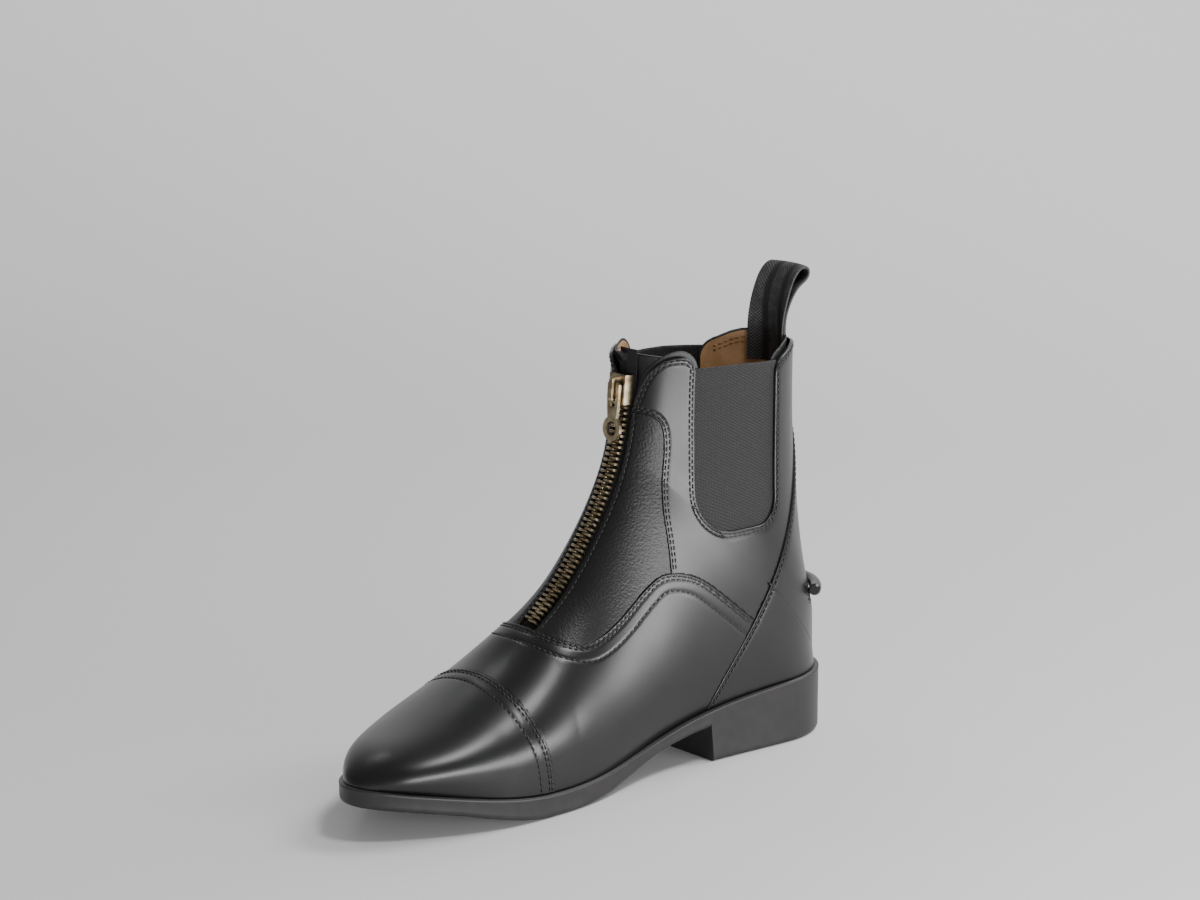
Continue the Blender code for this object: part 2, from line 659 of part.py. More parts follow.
def zip_pull():
    """The tab, with its origin on the axis of its bar."""
    thick = TAB_THICK / 2
    tab = extruded("zip_pull", tab_outline(), -thick, thick, brass)
    width, length = TAB_SLOT
    start = -thick - TAB_SLOT_START
    slot = [(width / 2, start), (width / 2, start - length), (-width / 2, start - length), (-width / 2, start)]
    ring = TAB_HOLE / 2
    centre = -(TAB_LENGTH - thick - TAB_RING / 2)
    hole = [(ring * cos(t), centre + ring * sin(t)) for t in np.linspace(0, 2 * pi, 17)[:-1]]
    openings = [extruded("tab_slot", slot, -5 * thick, 5 * thick, cutter_material),
                extruded("tab_hole", hole, -5 * thick, 5 * thick, cutter_material)]
    axis = TEETH_TOP + 2 * GAP + SLIDER_PLATE + PIVOT_ROOM
    place = zip_frame(SLIDER_ROW, 0) @ Matrix.Translation((0, PIVOT_RISE, axis))
    tilt = Matrix.Rotation(-radians(TAB_ANGLE), 4, "X")
    for thing in (tab, *openings):
        thing.matrix_world = place @ tilt
    return cut(tab, "DIFFERENCE", *[as_cutter(thing) for thing in openings])


# Sole, insole and the pieces at the back

def sole_bottom(along):
    """Height of the sole's underside as a share, on the floor at the heel and the ball."""
    shares = [row for row in SOLE if row[0] >= HEEL_ROUND]
    line = spline([row[0] for row in shares], [row[4:] for row in shares])
    height = np.maximum(line(along)[..., 0], 0)
    return np.where(np.asarray(along) <= HEEL_BREAST, 0, height)


def sole_alongs():
    """Shares along at which the sole is cut into sections, with two at the breast."""
    heel = HEEL_BREAST * (1 - np.cos(np.linspace(0, pi / 2, 9)))
    toe_start = 1 - TOE_ROUND
    middle = np.linspace(HEEL_BREAST + BREAST_SLOPE, toe_start, 15)[:-1]
    toe = toe_start + TOE_ROUND * np.sin(np.linspace(0, pi / 2, 11))
    return np.r_[heel, middle, toe]


def outsole():
    """Rings of the sole's outline, from the top face round the rim to the tread."""
    along = sole_alongs()
    centre, half, rim = sole_at(along)
    bottom = sole_bottom(along)
    count = len(along)
    loop = np.r_[np.c_[along, centre + half], np.c_[along, centre - half][-2:0:-1]]
    level = np.r_[rim, rim[-2:0:-1]]
    low = np.r_[bottom, bottom[-2:0:-1]]
    run = np.roll(loop, -1, axis=0) - np.roll(loop, 1, axis=0)
    inward = np.c_[run[:, 1], -run[:, 0]] / np.linalg.norm(run, axis=1)[:, None]
    points = []
    for inset, from_top, from_bottom in SOLE_RINGS:
        place = loop * LENGTH + inward * inset * MM
        height = level * LENGTH + (from_top or 0) * MM
        if from_bottom is not None:
            height = low * LENGTH + from_bottom * MM
        points += list(world(place[:, 0], place[:, 1], height))
    size = len(loop)
    faces = []
    for k in range(len(SOLE_RINGS) - 1):
        for i in range(size):
            j = (i + 1) % size
            faces.append((k * size + i, k * size + j, (k + 1) * size + j, (k + 1) * size + i))
    for first, turned in ((0, True), ((len(SOLE_RINGS) - 1) * size, False)):
        for i in range(count - 1):
            strip = [first + i, first + i + 1, first + (size - i - 1) % size, first + (size - i) % size]
            strip = list(dict.fromkeys(strip))
            faces.append(strip[::-1] if turned else strip)
    sole = mesh_object("outsole", points, faces, sole_rubber)
    return cut(sole, "DIFFERENCE", tread_cutter())


def tread_cutter():
    """Bars cut across the tread at the ball and under the heel."""
    points, faces = [], []
    bars = [(place, reach) for start, end, count, reach in TREAD
            for place in np.linspace(start, end, count)]
    box = ((0, 1, 3, 2), (4, 6, 7, 5), (0, 4, 5, 1), (2, 3, 7, 6), (0, 2, 6, 4), (1, 5, 7, 3))
    for place, reach in bars:
        centre = float(sole_at(place)[0]) * LENGTH
        first = len(points)
        for x in (-TREAD_BAR / 2, TREAD_BAR / 2):
            for y in (-reach, reach):
                for z in (-BELOW, TREAD_DEPTH):
                    points.append(world(place * LENGTH + x, centre + y, z))
        faces += [[first + i for i in face] for face in box]
    return as_cutter(mesh_object("tread_bars", points, faces, cutter_material))


def insole():
    """A board on the sole, just inside the upper's wall."""
    rows = boot_rows()
    rows = rows[(rows > 0.02) & (rows < CLOSED - 0.02)]
    inside = WALL_OUT - WALL - 3 * GAP
    points = []
    for lift in (GAP, GAP + INSOLE_THICK):
        for girth in (0, 1):
            edge = surface(rows, girth + 0 * rows, inside)
            along = (LENGTH / 2 - edge[:, 0]) / LENGTH
            height = sole_at(along)[2] * LENGTH + lift
            points += list(np.c_[edge[:, :2], height])
    count = len(rows)
    faces = [(0, count, 3 * count, 2 * count),
             (count - 1, 3 * count - 1, 4 * count - 1, 2 * count - 1)]
    for i in range(count - 1):
        low, right, top, far = i, i + count, i + 2 * count, i + 3 * count
        faces += [(low, low + 1, right + 1, right), (top, far, far + 1, top + 1),
                  (low, top, top + 1, low + 1), (right, right + 1, far + 1, far)]
    return mesh_object("insole", points, faces, lining_leather)


def pull_loop():
    """A webbing strap sewn inside the collar's back, folded over to the rear."""
    path = smooth_line(LOOP_PATH, 27)
    half = LOOP_WIDTH / 2
    across = np.linspace(-half, half, 5)
    bow = LOOP_BEND - np.sqrt(LOOP_BEND ** 2 - across ** 2)
    flat = np.clip((path[:, 1] - LOOP_PATH[1][1]) / (LOOP_PATH[3][1] - LOOP_PATH[1][1]), 0, 1)
    follow = (1 - flat)[:, None]
    outer = shift_line(path * LENGTH, LOOP_THICK / 2)
    inner = shift_line(path * LENGTH, -LOOP_THICK / 2)
    grids = []
    for line in (outer, inner):
        along = line[:, :1] - follow * (bow.max() - bow)[None, :]
        height = line[:, 1:] + 0 * along
        grids.append(world(along, across[None, :] + 0 * along, height))
    down, wide = grids[0].shape[:2]
    points = list(grids[0].reshape(-1, 3)) + list(grids[1].reshape(-1, 3))
    size = down * wide
    faces = []
    for i in range(down - 1):
        for j in range(wide - 1):
            k = i * wide + j
            quad = (k, k + 1, k + wide + 1, k + wide)
            faces += [quad, tuple(n + size for n in reversed(quad))]
        for k in (i * wide, i * wide + wide - 1):
            faces.append((k, k + wide, k + wide + size, k + size))
    for start in (0, (down - 1) * wide):
        for k in range(start, start + wide - 1):
            faces.append((k, k + 1, k + 1 + size, k + size))
    return mesh_object("pull_loop", points, faces, webbing)


def level_row(height, girth):
    """The row at which the last has this height at this girth, above the heel."""
    rows = np.linspace(CLOSED, 1, 400)
    heights = last_point(rows, girth)[:, 2]
    return np.interp(height, heights, rows)


def spur_rest():
    """A stuffed leather roll across the back, over the counter."""
    off = CAP_OUT + GAP + SPUR_ROLL / 2
    data = bpy.data.curves.new("spur_rest", "CURVE")
    data.dimensions = "3D"
    data.bevel_depth = SPUR_ROLL / 2
    data.bevel_resolution = 2
    data.use_fill_caps = True
    line = data.splines.new("POLY")
    girths = np.linspace(-SPUR_REACH, SPUR_REACH, 15)
    line.points.add(len(girths) - 1)
    for point, girth in zip(line.points, girths):
        turn = girth % 1
        point.co = (*surface(level_row(SPUR_HEIGHT, turn), turn, off), 1)
    guide = bpy.data.objects.new("spur_guide", data)
    boot.objects.link(guide)
    drawn = guide.evaluated_get(bpy.context.evaluated_depsgraph_get())
    mesh = bpy.data.meshes.new_from_object(drawn)
    points = [vertex.co.copy() for vertex in mesh.vertices]
    faces = [tuple(face.vertices) for face in mesh.polygons]
    bpy.data.objects.remove(guide)
    return mesh_object("spur_rest", points, faces, shiny_leather)


# Materials

def material(name, colour, roughness, metallic=0.0):
    made = bpy.data.materials.new(name)
    made.use_nodes = True
    shader = made.node_tree.nodes["Principled BSDF"]
    shader.inputs["Base Color"].default_value = (*colour, 1)
    shader.inputs["Roughness"].default_value = roughness
    shader.inputs["Metallic"].default_value = metallic
    return made


for thing in list(bpy.data.objects):
    bpy.data.objects.remove(thing)
boot = bpy.data.collections.new("paddock_boot")
cutters = bpy.data.collections.new("cutters")
bpy.context.scene.collection.children.link(boot)
bpy.context.scene.collection.children.link(cutters)
cutters.hide_render = True

shiny_leather = material("shiny black leather", (0.022, 0.022, 0.023), 0.32)
soft_leather = material("soft black leather", (0.017, 0.017, 0.018), 0.5)
lining_leather = material("tan lining leather", (0.52, 0.31, 0.16), 0.6)
elastic = material("black elastic", (0.03, 0.03, 0.03), 0.8)
tape_cloth = material("black zip tape", (0.012, 0.012, 0.012), 0.85)
brass = material("aged brass", (0.42, 0.33, 0.2), 0.35, 1.0)
webbing = material("black webbing", (0.02, 0.02, 0.02), 0.8)
sole_rubber = material("black sole", (0.055, 0.052, 0.052), 0.5)
cutter_material = material("cutter", (0.8, 0.2, 0.2), 0.5)

vamp_space = prism("vamp_space", under_vamp_seam(-GAP / 2))
counter_space = prism("counter_space", counter_outline(-GAP / 2))

outsole()
insole()
upper()
toe_cap()
vamp()
counter()
for label, hand in (("outer", 1), ("inner", -1)):
    quarter("quarter_" + label, hand)
    facing("facing_" + label, hand)
    gore("gore_" + label, hand)
zip_guard()
zip_tape()
zip_teeth()
zip_slider()
zip_pull()
pull_loop()
spur_rest()
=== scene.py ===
# %% [markdown]
# # A black paddock boot with a front zip
#
# The boot's solid pieces come from a CAD model. This lesson lays over them what
# a camera sees: polished leather cut into panels, edges turned under and sewn
# twice, a brass zip, ribbed elastic, a woven pull loop and a moulded sole. Each
# piece rides on the CAD body that carries it, so it moves when the model does.

# %% Load the CAD model
from math import cos, pi, radians, sin

import bpy
import numpy as np
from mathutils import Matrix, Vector

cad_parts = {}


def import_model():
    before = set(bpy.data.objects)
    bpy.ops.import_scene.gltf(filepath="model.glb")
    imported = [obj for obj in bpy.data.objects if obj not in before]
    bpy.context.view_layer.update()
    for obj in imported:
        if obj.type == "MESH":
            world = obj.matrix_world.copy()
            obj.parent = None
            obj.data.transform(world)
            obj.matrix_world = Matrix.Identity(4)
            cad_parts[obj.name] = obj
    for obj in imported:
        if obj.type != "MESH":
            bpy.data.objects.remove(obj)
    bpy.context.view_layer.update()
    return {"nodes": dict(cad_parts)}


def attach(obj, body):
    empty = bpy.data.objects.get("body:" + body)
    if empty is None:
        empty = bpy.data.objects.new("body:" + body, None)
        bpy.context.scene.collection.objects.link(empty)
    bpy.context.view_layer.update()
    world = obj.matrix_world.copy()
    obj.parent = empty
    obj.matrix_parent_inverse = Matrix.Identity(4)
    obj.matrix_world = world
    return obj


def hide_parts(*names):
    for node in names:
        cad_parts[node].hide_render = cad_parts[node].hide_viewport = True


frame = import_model()
NODES = frame["nodes"]

# %% [markdown]
# ## The last
#
# A boot is pulled over a last, a solid foot that stays in it while the leather
# takes its shape. The same last, as tables of sections, shaped the CAD model, so
# every panel here lies exactly where its solid does. Places are shares of the
# outsole's length, counted from the heel's rear. A table is chosen over a sculpted
# mesh because any point can be asked of it, however fine a panel's net is.

# %% Sizes and sections of the last
MM = 0.001
LENGTH = 265 * MM
LEDGE = 2.4 * MM             # how far the sole's rim stands out from the upper
GAP = 0.3 * MM               # play between two layers
TOE_ROUND = 0.26
HEEL_ROUND = 0.13
HEEL_BREAST = 0.302
BREAST_SLOPE = 0.006
ZIP_END = 0.385
SLOT = 13.0 * MM
# The last is softened above its seat on the sole, over these shares.
SEAT_SOFT = 0.001
SEAT_GIRTH = 0.08
SEAT_ROWS = 0.05
SLIDER_ROW = 0.888

# Sole: along, centre offset, half width, height of the rim, height of the bottom.
SOLE = (
    (0.00, 0.000, 0.109, 0.112, 0.000),
    (0.12, 0.000, 0.108, 0.108, 0.000),
    (0.25, 0.000, 0.103, 0.098, 0.067),
    (0.33, 0.001, 0.100, 0.086, 0.058),
    (0.42, 0.002, 0.102, 0.066, 0.042),
    (0.56, -0.006, 0.136, 0.041, 0.006),
    (0.62, -0.010, 0.150, 0.038, 0.000),
    (0.70, -0.014, 0.158, 0.039, 0.000),
    (0.85, -0.004, 0.141, 0.062, 0.032),
    (1.00, 0.014, 0.108, 0.088, 0.057),
)

# Last, a row for each section plane from the toe to the collar: where the plane
# meets the sole or the back seam (along, height), where it meets the crown
# (along, height, centre offset), half widths at the outer and the inner bulge,
# share of the section's height at which it bulges, and fullness of its shoulder.
LAST = (
    (0.991, 0.088, 0.991, 0.089, 0.014, 0.000, 0.000, 0.02, 0.10),
    (0.975, 0.085, 0.974, 0.112, 0.010, 0.036, 0.036, 0.18, 0.10),
    (0.933, 0.076, 0.930, 0.134, 0.004, 0.080, 0.079, 0.32, 0.10),
    (0.870, 0.065, 0.866, 0.152, -0.004, 0.115, 0.113, 0.38, 0.08),
    (0.790, 0.050, 0.780, 0.181, -0.010, 0.141, 0.144, 0.34, 0.03),
    (0.700, 0.038, 0.690, 0.222, -0.014, 0.148, 0.156, 0.30, 0.00),
    (0.600, 0.036, 0.615, 0.274, -0.012, 0.140, 0.148, 0.28, 0.00),
    (0.490, 0.051, 0.555, 0.328, -0.009, 0.122, 0.132, 0.30, 0.00),
    (0.370, 0.076, 0.512, 0.388, -0.005, 0.112, 0.122, 0.34, 0.02),
    (0.240, 0.098, 0.479, 0.443, -0.003, 0.112, 0.118, 0.40, 0.06),
    (0.110, 0.108, 0.456, 0.497, 0.000, 0.113, 0.115, 0.44, 0.08),
    (0.009, 0.112, 0.441, 0.541, 0.000, 0.112, 0.114, 0.46, 0.10),
    (0.018, 0.225, 0.431, 0.581, 0.000, 0.108, 0.110, 0.48, 0.12),
    (0.046, 0.370, 0.424, 0.625, 0.000, 0.105, 0.107, 0.50, 0.12),
    (0.058, 0.520, 0.420, 0.670, 0.000, 0.106, 0.107, 0.50, 0.12),
    (0.070, 0.670, 0.419, 0.705, 0.000, 0.109, 0.109, 0.50, 0.12),
)
CLOSED_ROW = 11              # from this row of the last on, the section is closed

# Seams as seen from the side: along, height. Both sides of the boot share them.
TOE_SEAM = ((0.676, 0.02), (0.683, 0.08), (0.702, 0.155), (0.711, 0.200), (0.709, 0.30))
VAMP_SEAM = (
    (0.700, 0.330), (0.640, 0.288), (0.600, 0.260), (0.566, 0.252), (0.536, 0.260),
    (0.491, 0.287), (0.442, 0.325), (0.415, 0.340), (0.381, 0.340), (0.340, 0.325),
    (0.302, 0.298), (0.222, 0.234),
)
COUNTER_SEAM = (
    (0.325, 0.050), (0.308, 0.100), (0.264, 0.174), (0.222, 0.234), (0.189, 0.283),
    (0.150, 0.340), (0.120, 0.385), (0.094, 0.440), (0.076, 0.500), (0.060, 0.555),
    (0.030, 0.600), (-0.030, 0.640),
)
QUARTER_FRONT = (
    (0.396, 0.30), (0.396, 0.343), (0.397, 0.392), (0.399, 0.442), (0.395, 0.491),
    (0.389, 0.540), (0.389, 0.570), (0.394, 0.589), (0.406, 0.600), (0.420, 0.604), (0.50, 0.606),
)
GORE_FRONT = 0.340
GORE_REAR = 0.163
GORE_BOTTOM = 0.394
GORE_FRONT_ROUND = 0.075
GORE_REAR_ROUND = 0.045
print("sections of the last:", len(LAST), "and of the sole:", len(SOLE))

# %% [markdown]
# A last has no corners, so its sections are joined by smooth curves. Curve objects
# could draw them. A natural cubic spline as a plain function is simpler here,
# because it gives the whole surface at once from the tables.

# %% Smooth curves
def spline(stations, values):
    """A natural cubic spline: returns a function of the station."""
    x = np.asarray(stations, float)
    y = np.asarray(values, float)
    step = np.diff(x)
    count = len(x)
    matrix = np.eye(count)
    right = np.zeros_like(y)
    for i in range(1, count - 1):
        matrix[i, i - 1:i + 2] = step[i - 1], 2 * (step[i - 1] + step[i]), step[i]
        right[i] = 6 * ((y[i + 1] - y[i]) / step[i] - (y[i] - y[i - 1]) / step[i - 1])
    bend = np.linalg.solve(matrix, right)

    def at(place):
        place = np.asarray(place, float)
        i = np.clip(np.searchsorted(x, place, side="right") - 1, 0, count - 2)
        ahead = (x[i + 1] - place)[..., None]
        behind = (place - x[i])[..., None]
        gap = step[i][..., None]
        cubic = (bend[i] * ahead ** 3 + bend[i + 1] * behind ** 3) / (6 * gap)
        low = (y[i] / gap - bend[i] * gap / 6) * ahead
        high = (y[i + 1] / gap - bend[i + 1] * gap / 6) * behind
        return cubic + low + high

    return at


def lengths_along(points):
    """Length along a line up to each of its points."""
    return np.r_[0, np.cumsum(np.linalg.norm(np.diff(points, axis=0), axis=1))]


def unit(vectors):
    """The same directions, each one metre long."""
    return vectors / np.linalg.norm(vectors, axis=-1, keepdims=True)


def smooth_line(points, count):
    """The same number of points along a smooth line through the given ones."""
    points = np.asarray(points, float)
    reach = lengths_along(points)
    return spline(reach, points)(np.linspace(0, reach[-1], count))


def shift_line(line, distance):
    """Moves a line to its left by a distance, in its own plane."""
    run = unit(np.gradient(line, axis=0))
    return line + distance * np.c_[-run[:, 1], run[:, 0]]


print("a line through three points, middle:", smooth_line([(0, 0), (1, 1), (2, 0)], 3)[1])

# %% [markdown]
# The sole sets the boot's place in the frame. Its outline is rounded at the toe and
# at the heel by a share of its length, and the last stands inside it by a ledge.

# %% The sole's outline and the frame
sole_spline = spline([row[0] for row in SOLE], [row[1:4] for row in SOLE])


def last_stations():
    """The last's rows after one mirrored in front of the toe, which makes its tip round."""
    tip, second = LAST[0], LAST[1]
    mirrored = (*second[:3], 2 * tip[3] - second[3], second[4], -second[5], -second[6], *second[7:])
    step = 1 / (len(LAST) - 1)
    return np.linspace(-step, 1, len(LAST) + 1), (mirrored, *LAST)


last_spline = spline(*last_stations())
CLOSED = CLOSED_ROW / (len(LAST) - 1)


def sole_at(along, inset=0.0):
    """Centre offset, half width less an inset, and rim height of the sole, as shares."""
    along = np.clip((np.asarray(along, float) - inset) / (1 - 2 * inset), 0, 1)
    centre, half, rim = np.moveaxis(sole_spline(along), -1, 0)
    half = half - inset
    toe = np.clip((along - 1 + TOE_ROUND) / TOE_ROUND, 0, 1)
    heel = np.clip((HEEL_ROUND - along) / HEEL_ROUND, 0, 1)
    return centre, half * np.sqrt(1 - toe ** 2) * np.sqrt(1 - heel ** 2), rim


def side_shift():
    """Sideways move that puts the middle of the sole's width on y = 0."""
    centre, half = sole_at(np.linspace(0, 1, 400))[:2]
    return ((centre + half).max() + (centre - half).min()) / 2 * LENGTH


SIDE_SHIFT = side_shift()


def world(along, aside, height):
    """From metres along, aside and up to the boot's frame."""
    return np.stack([LENGTH / 2 - along, SIDE_SHIFT - aside, height], -1)


print("the sole's middle lies", round(SIDE_SHIFT / MM, 2), "mm beside its centre line")

# %% [markdown]
# A place on the last is a row, from the toe to the collar, and a girth, from the
# outer edge of the sole over the crown to the inner edge. Layers of leather are
# distances off the last, so panels that lie over each other never cross.

# %% A point of the last
def last_point(row, girth):
    """Point of the last's surface. Girth runs 0..1 from the outer to the inner edge."""
    row, girth = np.broadcast_arrays(np.asarray(row, float), np.asarray(girth, float))
    section = np.moveaxis(last_spline(row), -1, 0)
    foot, foot_z, top, top_z, top_offset, outer, inner, bulge, full = section
    ledge = LEDGE / LENGTH
    past = foot - ledge
    foot = ledge + (past + np.hypot(past, SEAT_SOFT)) / 2
    centre, half, rim = sole_at(foot, ledge)
    closed = row >= CLOSED
    open_half = np.where(closed, 0, half)
    centre = np.where(closed, 0, centre)
    foot_z = np.where(closed, foot_z, rim) + GAP / LENGTH
    widest = np.maximum(np.where(girth <= 0.5, outer, inner), open_half * 1.01 + 1e-6)
    start = np.arcsin(np.clip(open_half / widest, 0, 0.995))
    ratio = bulge * (1 - 2 * start / pi) / np.cos(start) / (1 - bulge)
    low_share = ratio / (1 + ratio)
    climb = 1 - np.abs(2 * girth - 1)
    low = climb < low_share
    turn = start + (pi / 2 - start) * np.clip(climb / low_share, 0, 1)
    rise = pi / 2 * np.clip((climb - low_share) / (1 - low_share), 0, 1)
    shoulder = widest * np.cos(rise) * (1 + full * np.sin(rise) ** 2)
    width = np.where(low, widest * np.sin(turn), shoulder)
    up_low = bulge * (1 - np.cos(turn) / np.cos(start))
    up = np.where(low, up_low, bulge + (1 - bulge) * np.sin(rise))
    side = np.where(girth <= 0.5, 1.0, -1.0)
    along = foot + (top - foot) * up
    height = foot_z + (top_z - foot_z) * up
    aside = centre + (top_offset - centre) * up + side * width
    return np.stack([along, aside, height], -1) * LENGTH


def last_normal(row, girth):
    """Outward normal of the last, level along the open bottom edge."""
    row, girth = np.broadcast_arrays(np.asarray(row, float), np.asarray(girth, float))
    small = 0.002
    near = np.clip(row, 3 * small, 1 - small)
    near = np.where(np.abs(near - CLOSED) < small, CLOSED + small, near)
    within = np.clip(girth, small, 1 - small)
    middle = np.abs(within - 0.5) < small
    within = np.where(middle, 0.5, within)
    step = np.where(middle, small, small / 2)
    along = last_point(near + small, within) - last_point(near - small, within)
    across = last_point(near, within + step) - last_point(near, within - step)
    normal = np.cross(along, across)
    normal = np.where((row < small / 2)[..., None], [1.0, 0.0, 0.0], normal)
    climb = 1 - np.abs(2 * girth - 1)
    on_back = (row >= CLOSED) & (climb < small)
    normal[..., 1] = np.where(on_back, 0, normal[..., 1])
    over_seat = np.clip(climb / SEAT_GIRTH, 0, 1)
    over_heel = np.clip((row - CLOSED) / SEAT_ROWS, 0, 1)
    normal[..., 2] *= np.maximum(over_seat, over_heel)
    return unit(normal)


def surface(row, girth, off):
    """Point at a distance off the last, in the boot's frame."""
    point = last_point(row, girth) + last_normal(row, girth) * np.asarray(off)[..., None]
    return world(point[..., 0], point[..., 1], point[..., 2])


print("crown of the last at the toe, instep and collar, mm:",
      (last_point([0.1, 0.4, 1.0], 0.5)[:, 2] * 1000).round(1))

# %% [markdown]
# ## Leather cut along smooth lines
#
# A panel starts as a fine net over the last. A shoemaker marks a line and cuts
# along it; here a field holds each point's distance from that line, and every
# triangle that the line crosses is split on it. The same split at a few more
# distances gives the rows of points that round the edge over and that carry the
# stitches. A boolean cut could do it too, but it would leave the edge ragged.

# %% Distance from a marked line
STITCH_ROWS = (1.2 * MM, 2.5 * MM)
ROLL = 0.5 * MM
AT_ONCE = 20000              # points measured in one go, to save memory


def distance_to(line, along, height):
    """Distance in a side view from a line of points, positive on the line's left."""
    start, end = line[:-1], line[1:]
    run = end - start
    point = np.stack([along, height], -1)[:, None, :]
    share = ((point - start) * run).sum(-1) / (run ** 2).sum(-1)
    share[:, 1:] = np.maximum(share[:, 1:], 0)
    share[:, :-1] = np.minimum(share[:, :-1], 1)
    gap = point - start - run * share[..., None]
    length = np.linalg.norm(gap, axis=-1)
    nearest = length.argmin(1)
    pick = np.arange(len(length))
    side = run[nearest, 0] * gap[pick, nearest, 1] - run[nearest, 1] * gap[pick, nearest, 0]
    return length[pick, nearest] * np.sign(side) * LENGTH


def surface_distance(line, rows, girths, place):
    """Distance along the leather from a line drawn in side view, at every point of a net."""
    flat = place.reshape(-1, 3) / LENGTH
    field = np.zeros(len(flat))
    for k in range(0, len(flat), AT_ONCE):
        some = flat[k:k + AT_ONCE]
        field[k:k + AT_ONCE] = distance_to(line, some[:, 0], some[:, 2])
    field = field.reshape(place.shape[:2])
    down = np.gradient(place, rows, axis=0)
    across = np.gradient(place, girths, axis=1)
    e, f, g = (down ** 2).sum(-1), (down * across).sum(-1), (across ** 2).sum(-1)
    area = np.maximum(e * g - f * f, 1e-12)
    by_row = np.gradient(field, rows, axis=0)
    by_girth = np.gradient(field, girths, axis=1)
    slope = np.sqrt((g * by_row ** 2 - 2 * f * by_row * by_girth + e * by_girth ** 2) / area)
    return field / np.clip(slope, 0.3, 1.0)


print("a cut line is rounded over", ROLL / MM, "mm and sewn at",
      [row / MM for row in STITCH_ROWS], "mm from its edge")

# %% [markdown]
# The net holds rows and girths and no places in space, so a split point can be put
# back on the last exactly, at whatever height its panel lies.

# %% A net and its cuts
def net(rows, girths, lines):
    """Points (row, girth, distance inside each line) and triangles. A line may be a function."""
    row, girth = np.meshgrid(rows, girths, indexing="ij")
    place = last_point(row, girth)
    columns = [row.ravel(), girth.ravel()]
    for line in lines:
        measure = line if callable(line) else lambda *spots, line=line: surface_distance(line, *spots)
        columns.append(measure(rows, girths, place).ravel())
    down_count, across_count = row.shape
    k = np.arange(down_count - 1)[:, None] * across_count + np.arange(across_count - 1)[None, :]
    k = k.ravel()
    triangles = np.concatenate([np.stack([k, k + 1, k + across_count + 1], 1),
                                np.stack([k, k + across_count + 1, k + across_count], 1)])
    return np.stack(columns, 1), triangles


def split_at(points, triangles, column, level):
    """Splits every triangle that the level crosses, so that its line becomes edges."""
    over = points[:, column] - level
    near = np.abs(over) < 2e-6
    over[near] = 0
    points[near, column] = level
    sides = over[triangles]
    after = np.roll(sides, -1, axis=1)
    crossing = sides * after < 0
    edges = np.stack([triangles, np.roll(triangles, -1, axis=1)], -1)
    cut_edges = np.sort(edges[crossing], axis=1)
    if not len(cut_edges):
        return points, triangles
    unique, place = np.unique(cut_edges, axis=0, return_inverse=True)
    place = place.ravel()
    a, b = unique.T
    share = (over[a] / (over[a] - over[b]))[:, None]
    added = points[a] * (1 - share) + points[b] * share
    added[:, column] = level
    new = np.full(crossing.shape, -1)
    new[crossing] = place + len(points)
    points = np.concatenate([points, added])
    count = crossing.sum(1)
    kept = [triangles[count == 0]]
    for turn in range(3):
        corners = np.roll(triangles, -turn, axis=1)
        cuts = np.roll(new, -turn, axis=1)
        two = (count == 2) & (cuts[:, 0] >= 0) & (cuts[:, 2] >= 0)
        p, q, r = corners[two].T
        m, n = cuts[two, 0], cuts[two, 2]
        kept += [np.stack(t, 1) for t in ((p, m, n), (m, q, r), (m, r, n))]
        one = (count == 1) & (cuts[:, 1] >= 0)
        p, q, r = corners[one].T
        m = cuts[one, 1]
        kept += [np.stack(t, 1) for t in ((p, q, m), (p, m, r))]
    return points, np.concatenate(kept)


def level_lines(points, triangles, column, level):
    """Chains the edges that lie on a level into lines of point numbers."""
    on_level = np.abs(points[:, column] - level) < 1e-9
    links = {}
    for a, b in ((0, 1), (1, 2), (2, 0)):
        both = on_level[triangles[:, a]] & on_level[triangles[:, b]]
        for i, j in triangles[both][:, [a, b]].tolist():
            links.setdefault(i, set()).add(j)
            links.setdefault(j, set()).add(i)
    lines = []
    while links:
        start = next((i for i, near in links.items() if len(near) == 1), next(iter(links)))
        line = [start]
        while True:
            near = links.pop(line[-1], set())
            onward = [i for i in near if i in links and i not in line[-3:]]
            if not onward:
                break
            line.append(onward[0])
        if len(line) > 3:
            lines.append(line)
    return lines


def cut_net(rows, girths, lines):
    """A net without what lies outside its lines."""
    points, triangles = net(rows, girths, lines)
    for k in range(len(lines)):
        points, triangles = split_at(points, triangles, 2 + k, 0.0)
        triangles = triangles[(points[triangles][:, :, 2 + k] > -1e-9).all(1)]
    return points, triangles


print("a net of 3 by 4 points has", len(net(np.array([0.4, 0.5, 0.6]), np.linspace(0.2, 0.5, 4), [])[1]),
      "triangles")

# %% [markdown]
# Two helpers serve many pieces. One finds where a cut sheet ends, so that its edge
# can be turned down, and the other joins rings of points into a tube.

# %% Edges of a sheet, and tubes
def open_sides(triangles):
    """Sides that only one triangle has."""
    sides = np.concatenate([triangles[:, [0, 1]], triangles[:, [1, 2]], triangles[:, [2, 0]]])
    seen = {tuple(pair) for pair in sides.tolist()}
    return [(a, b) for a, b in seen if (b, a) not in seen]


def wrap(rings, size):
    """Faces of a tube, whose rings have as many points as its size."""
    faces = []
    for k in range(0, size * (rings - 1), size):
        for j in range(size):
            n = (j + 1) % size
            faces.append((k + j, k + n, k + size + n, k + size + j))
    return faces


print("two rings of 6 points join into", len(wrap(2, 6)), "faces")

# %% [markdown]
# ## Finishes
#
# Polished leather is a dark, slightly rough skin with a fine pebbled grain that
# breaks up its reflections. Cloth and webbing show the weave of their threads.
# They could be painted as images. Patterns worked out by the shader stay sharp at
# any distance, and a small class lets the lesson write them as plain sums.

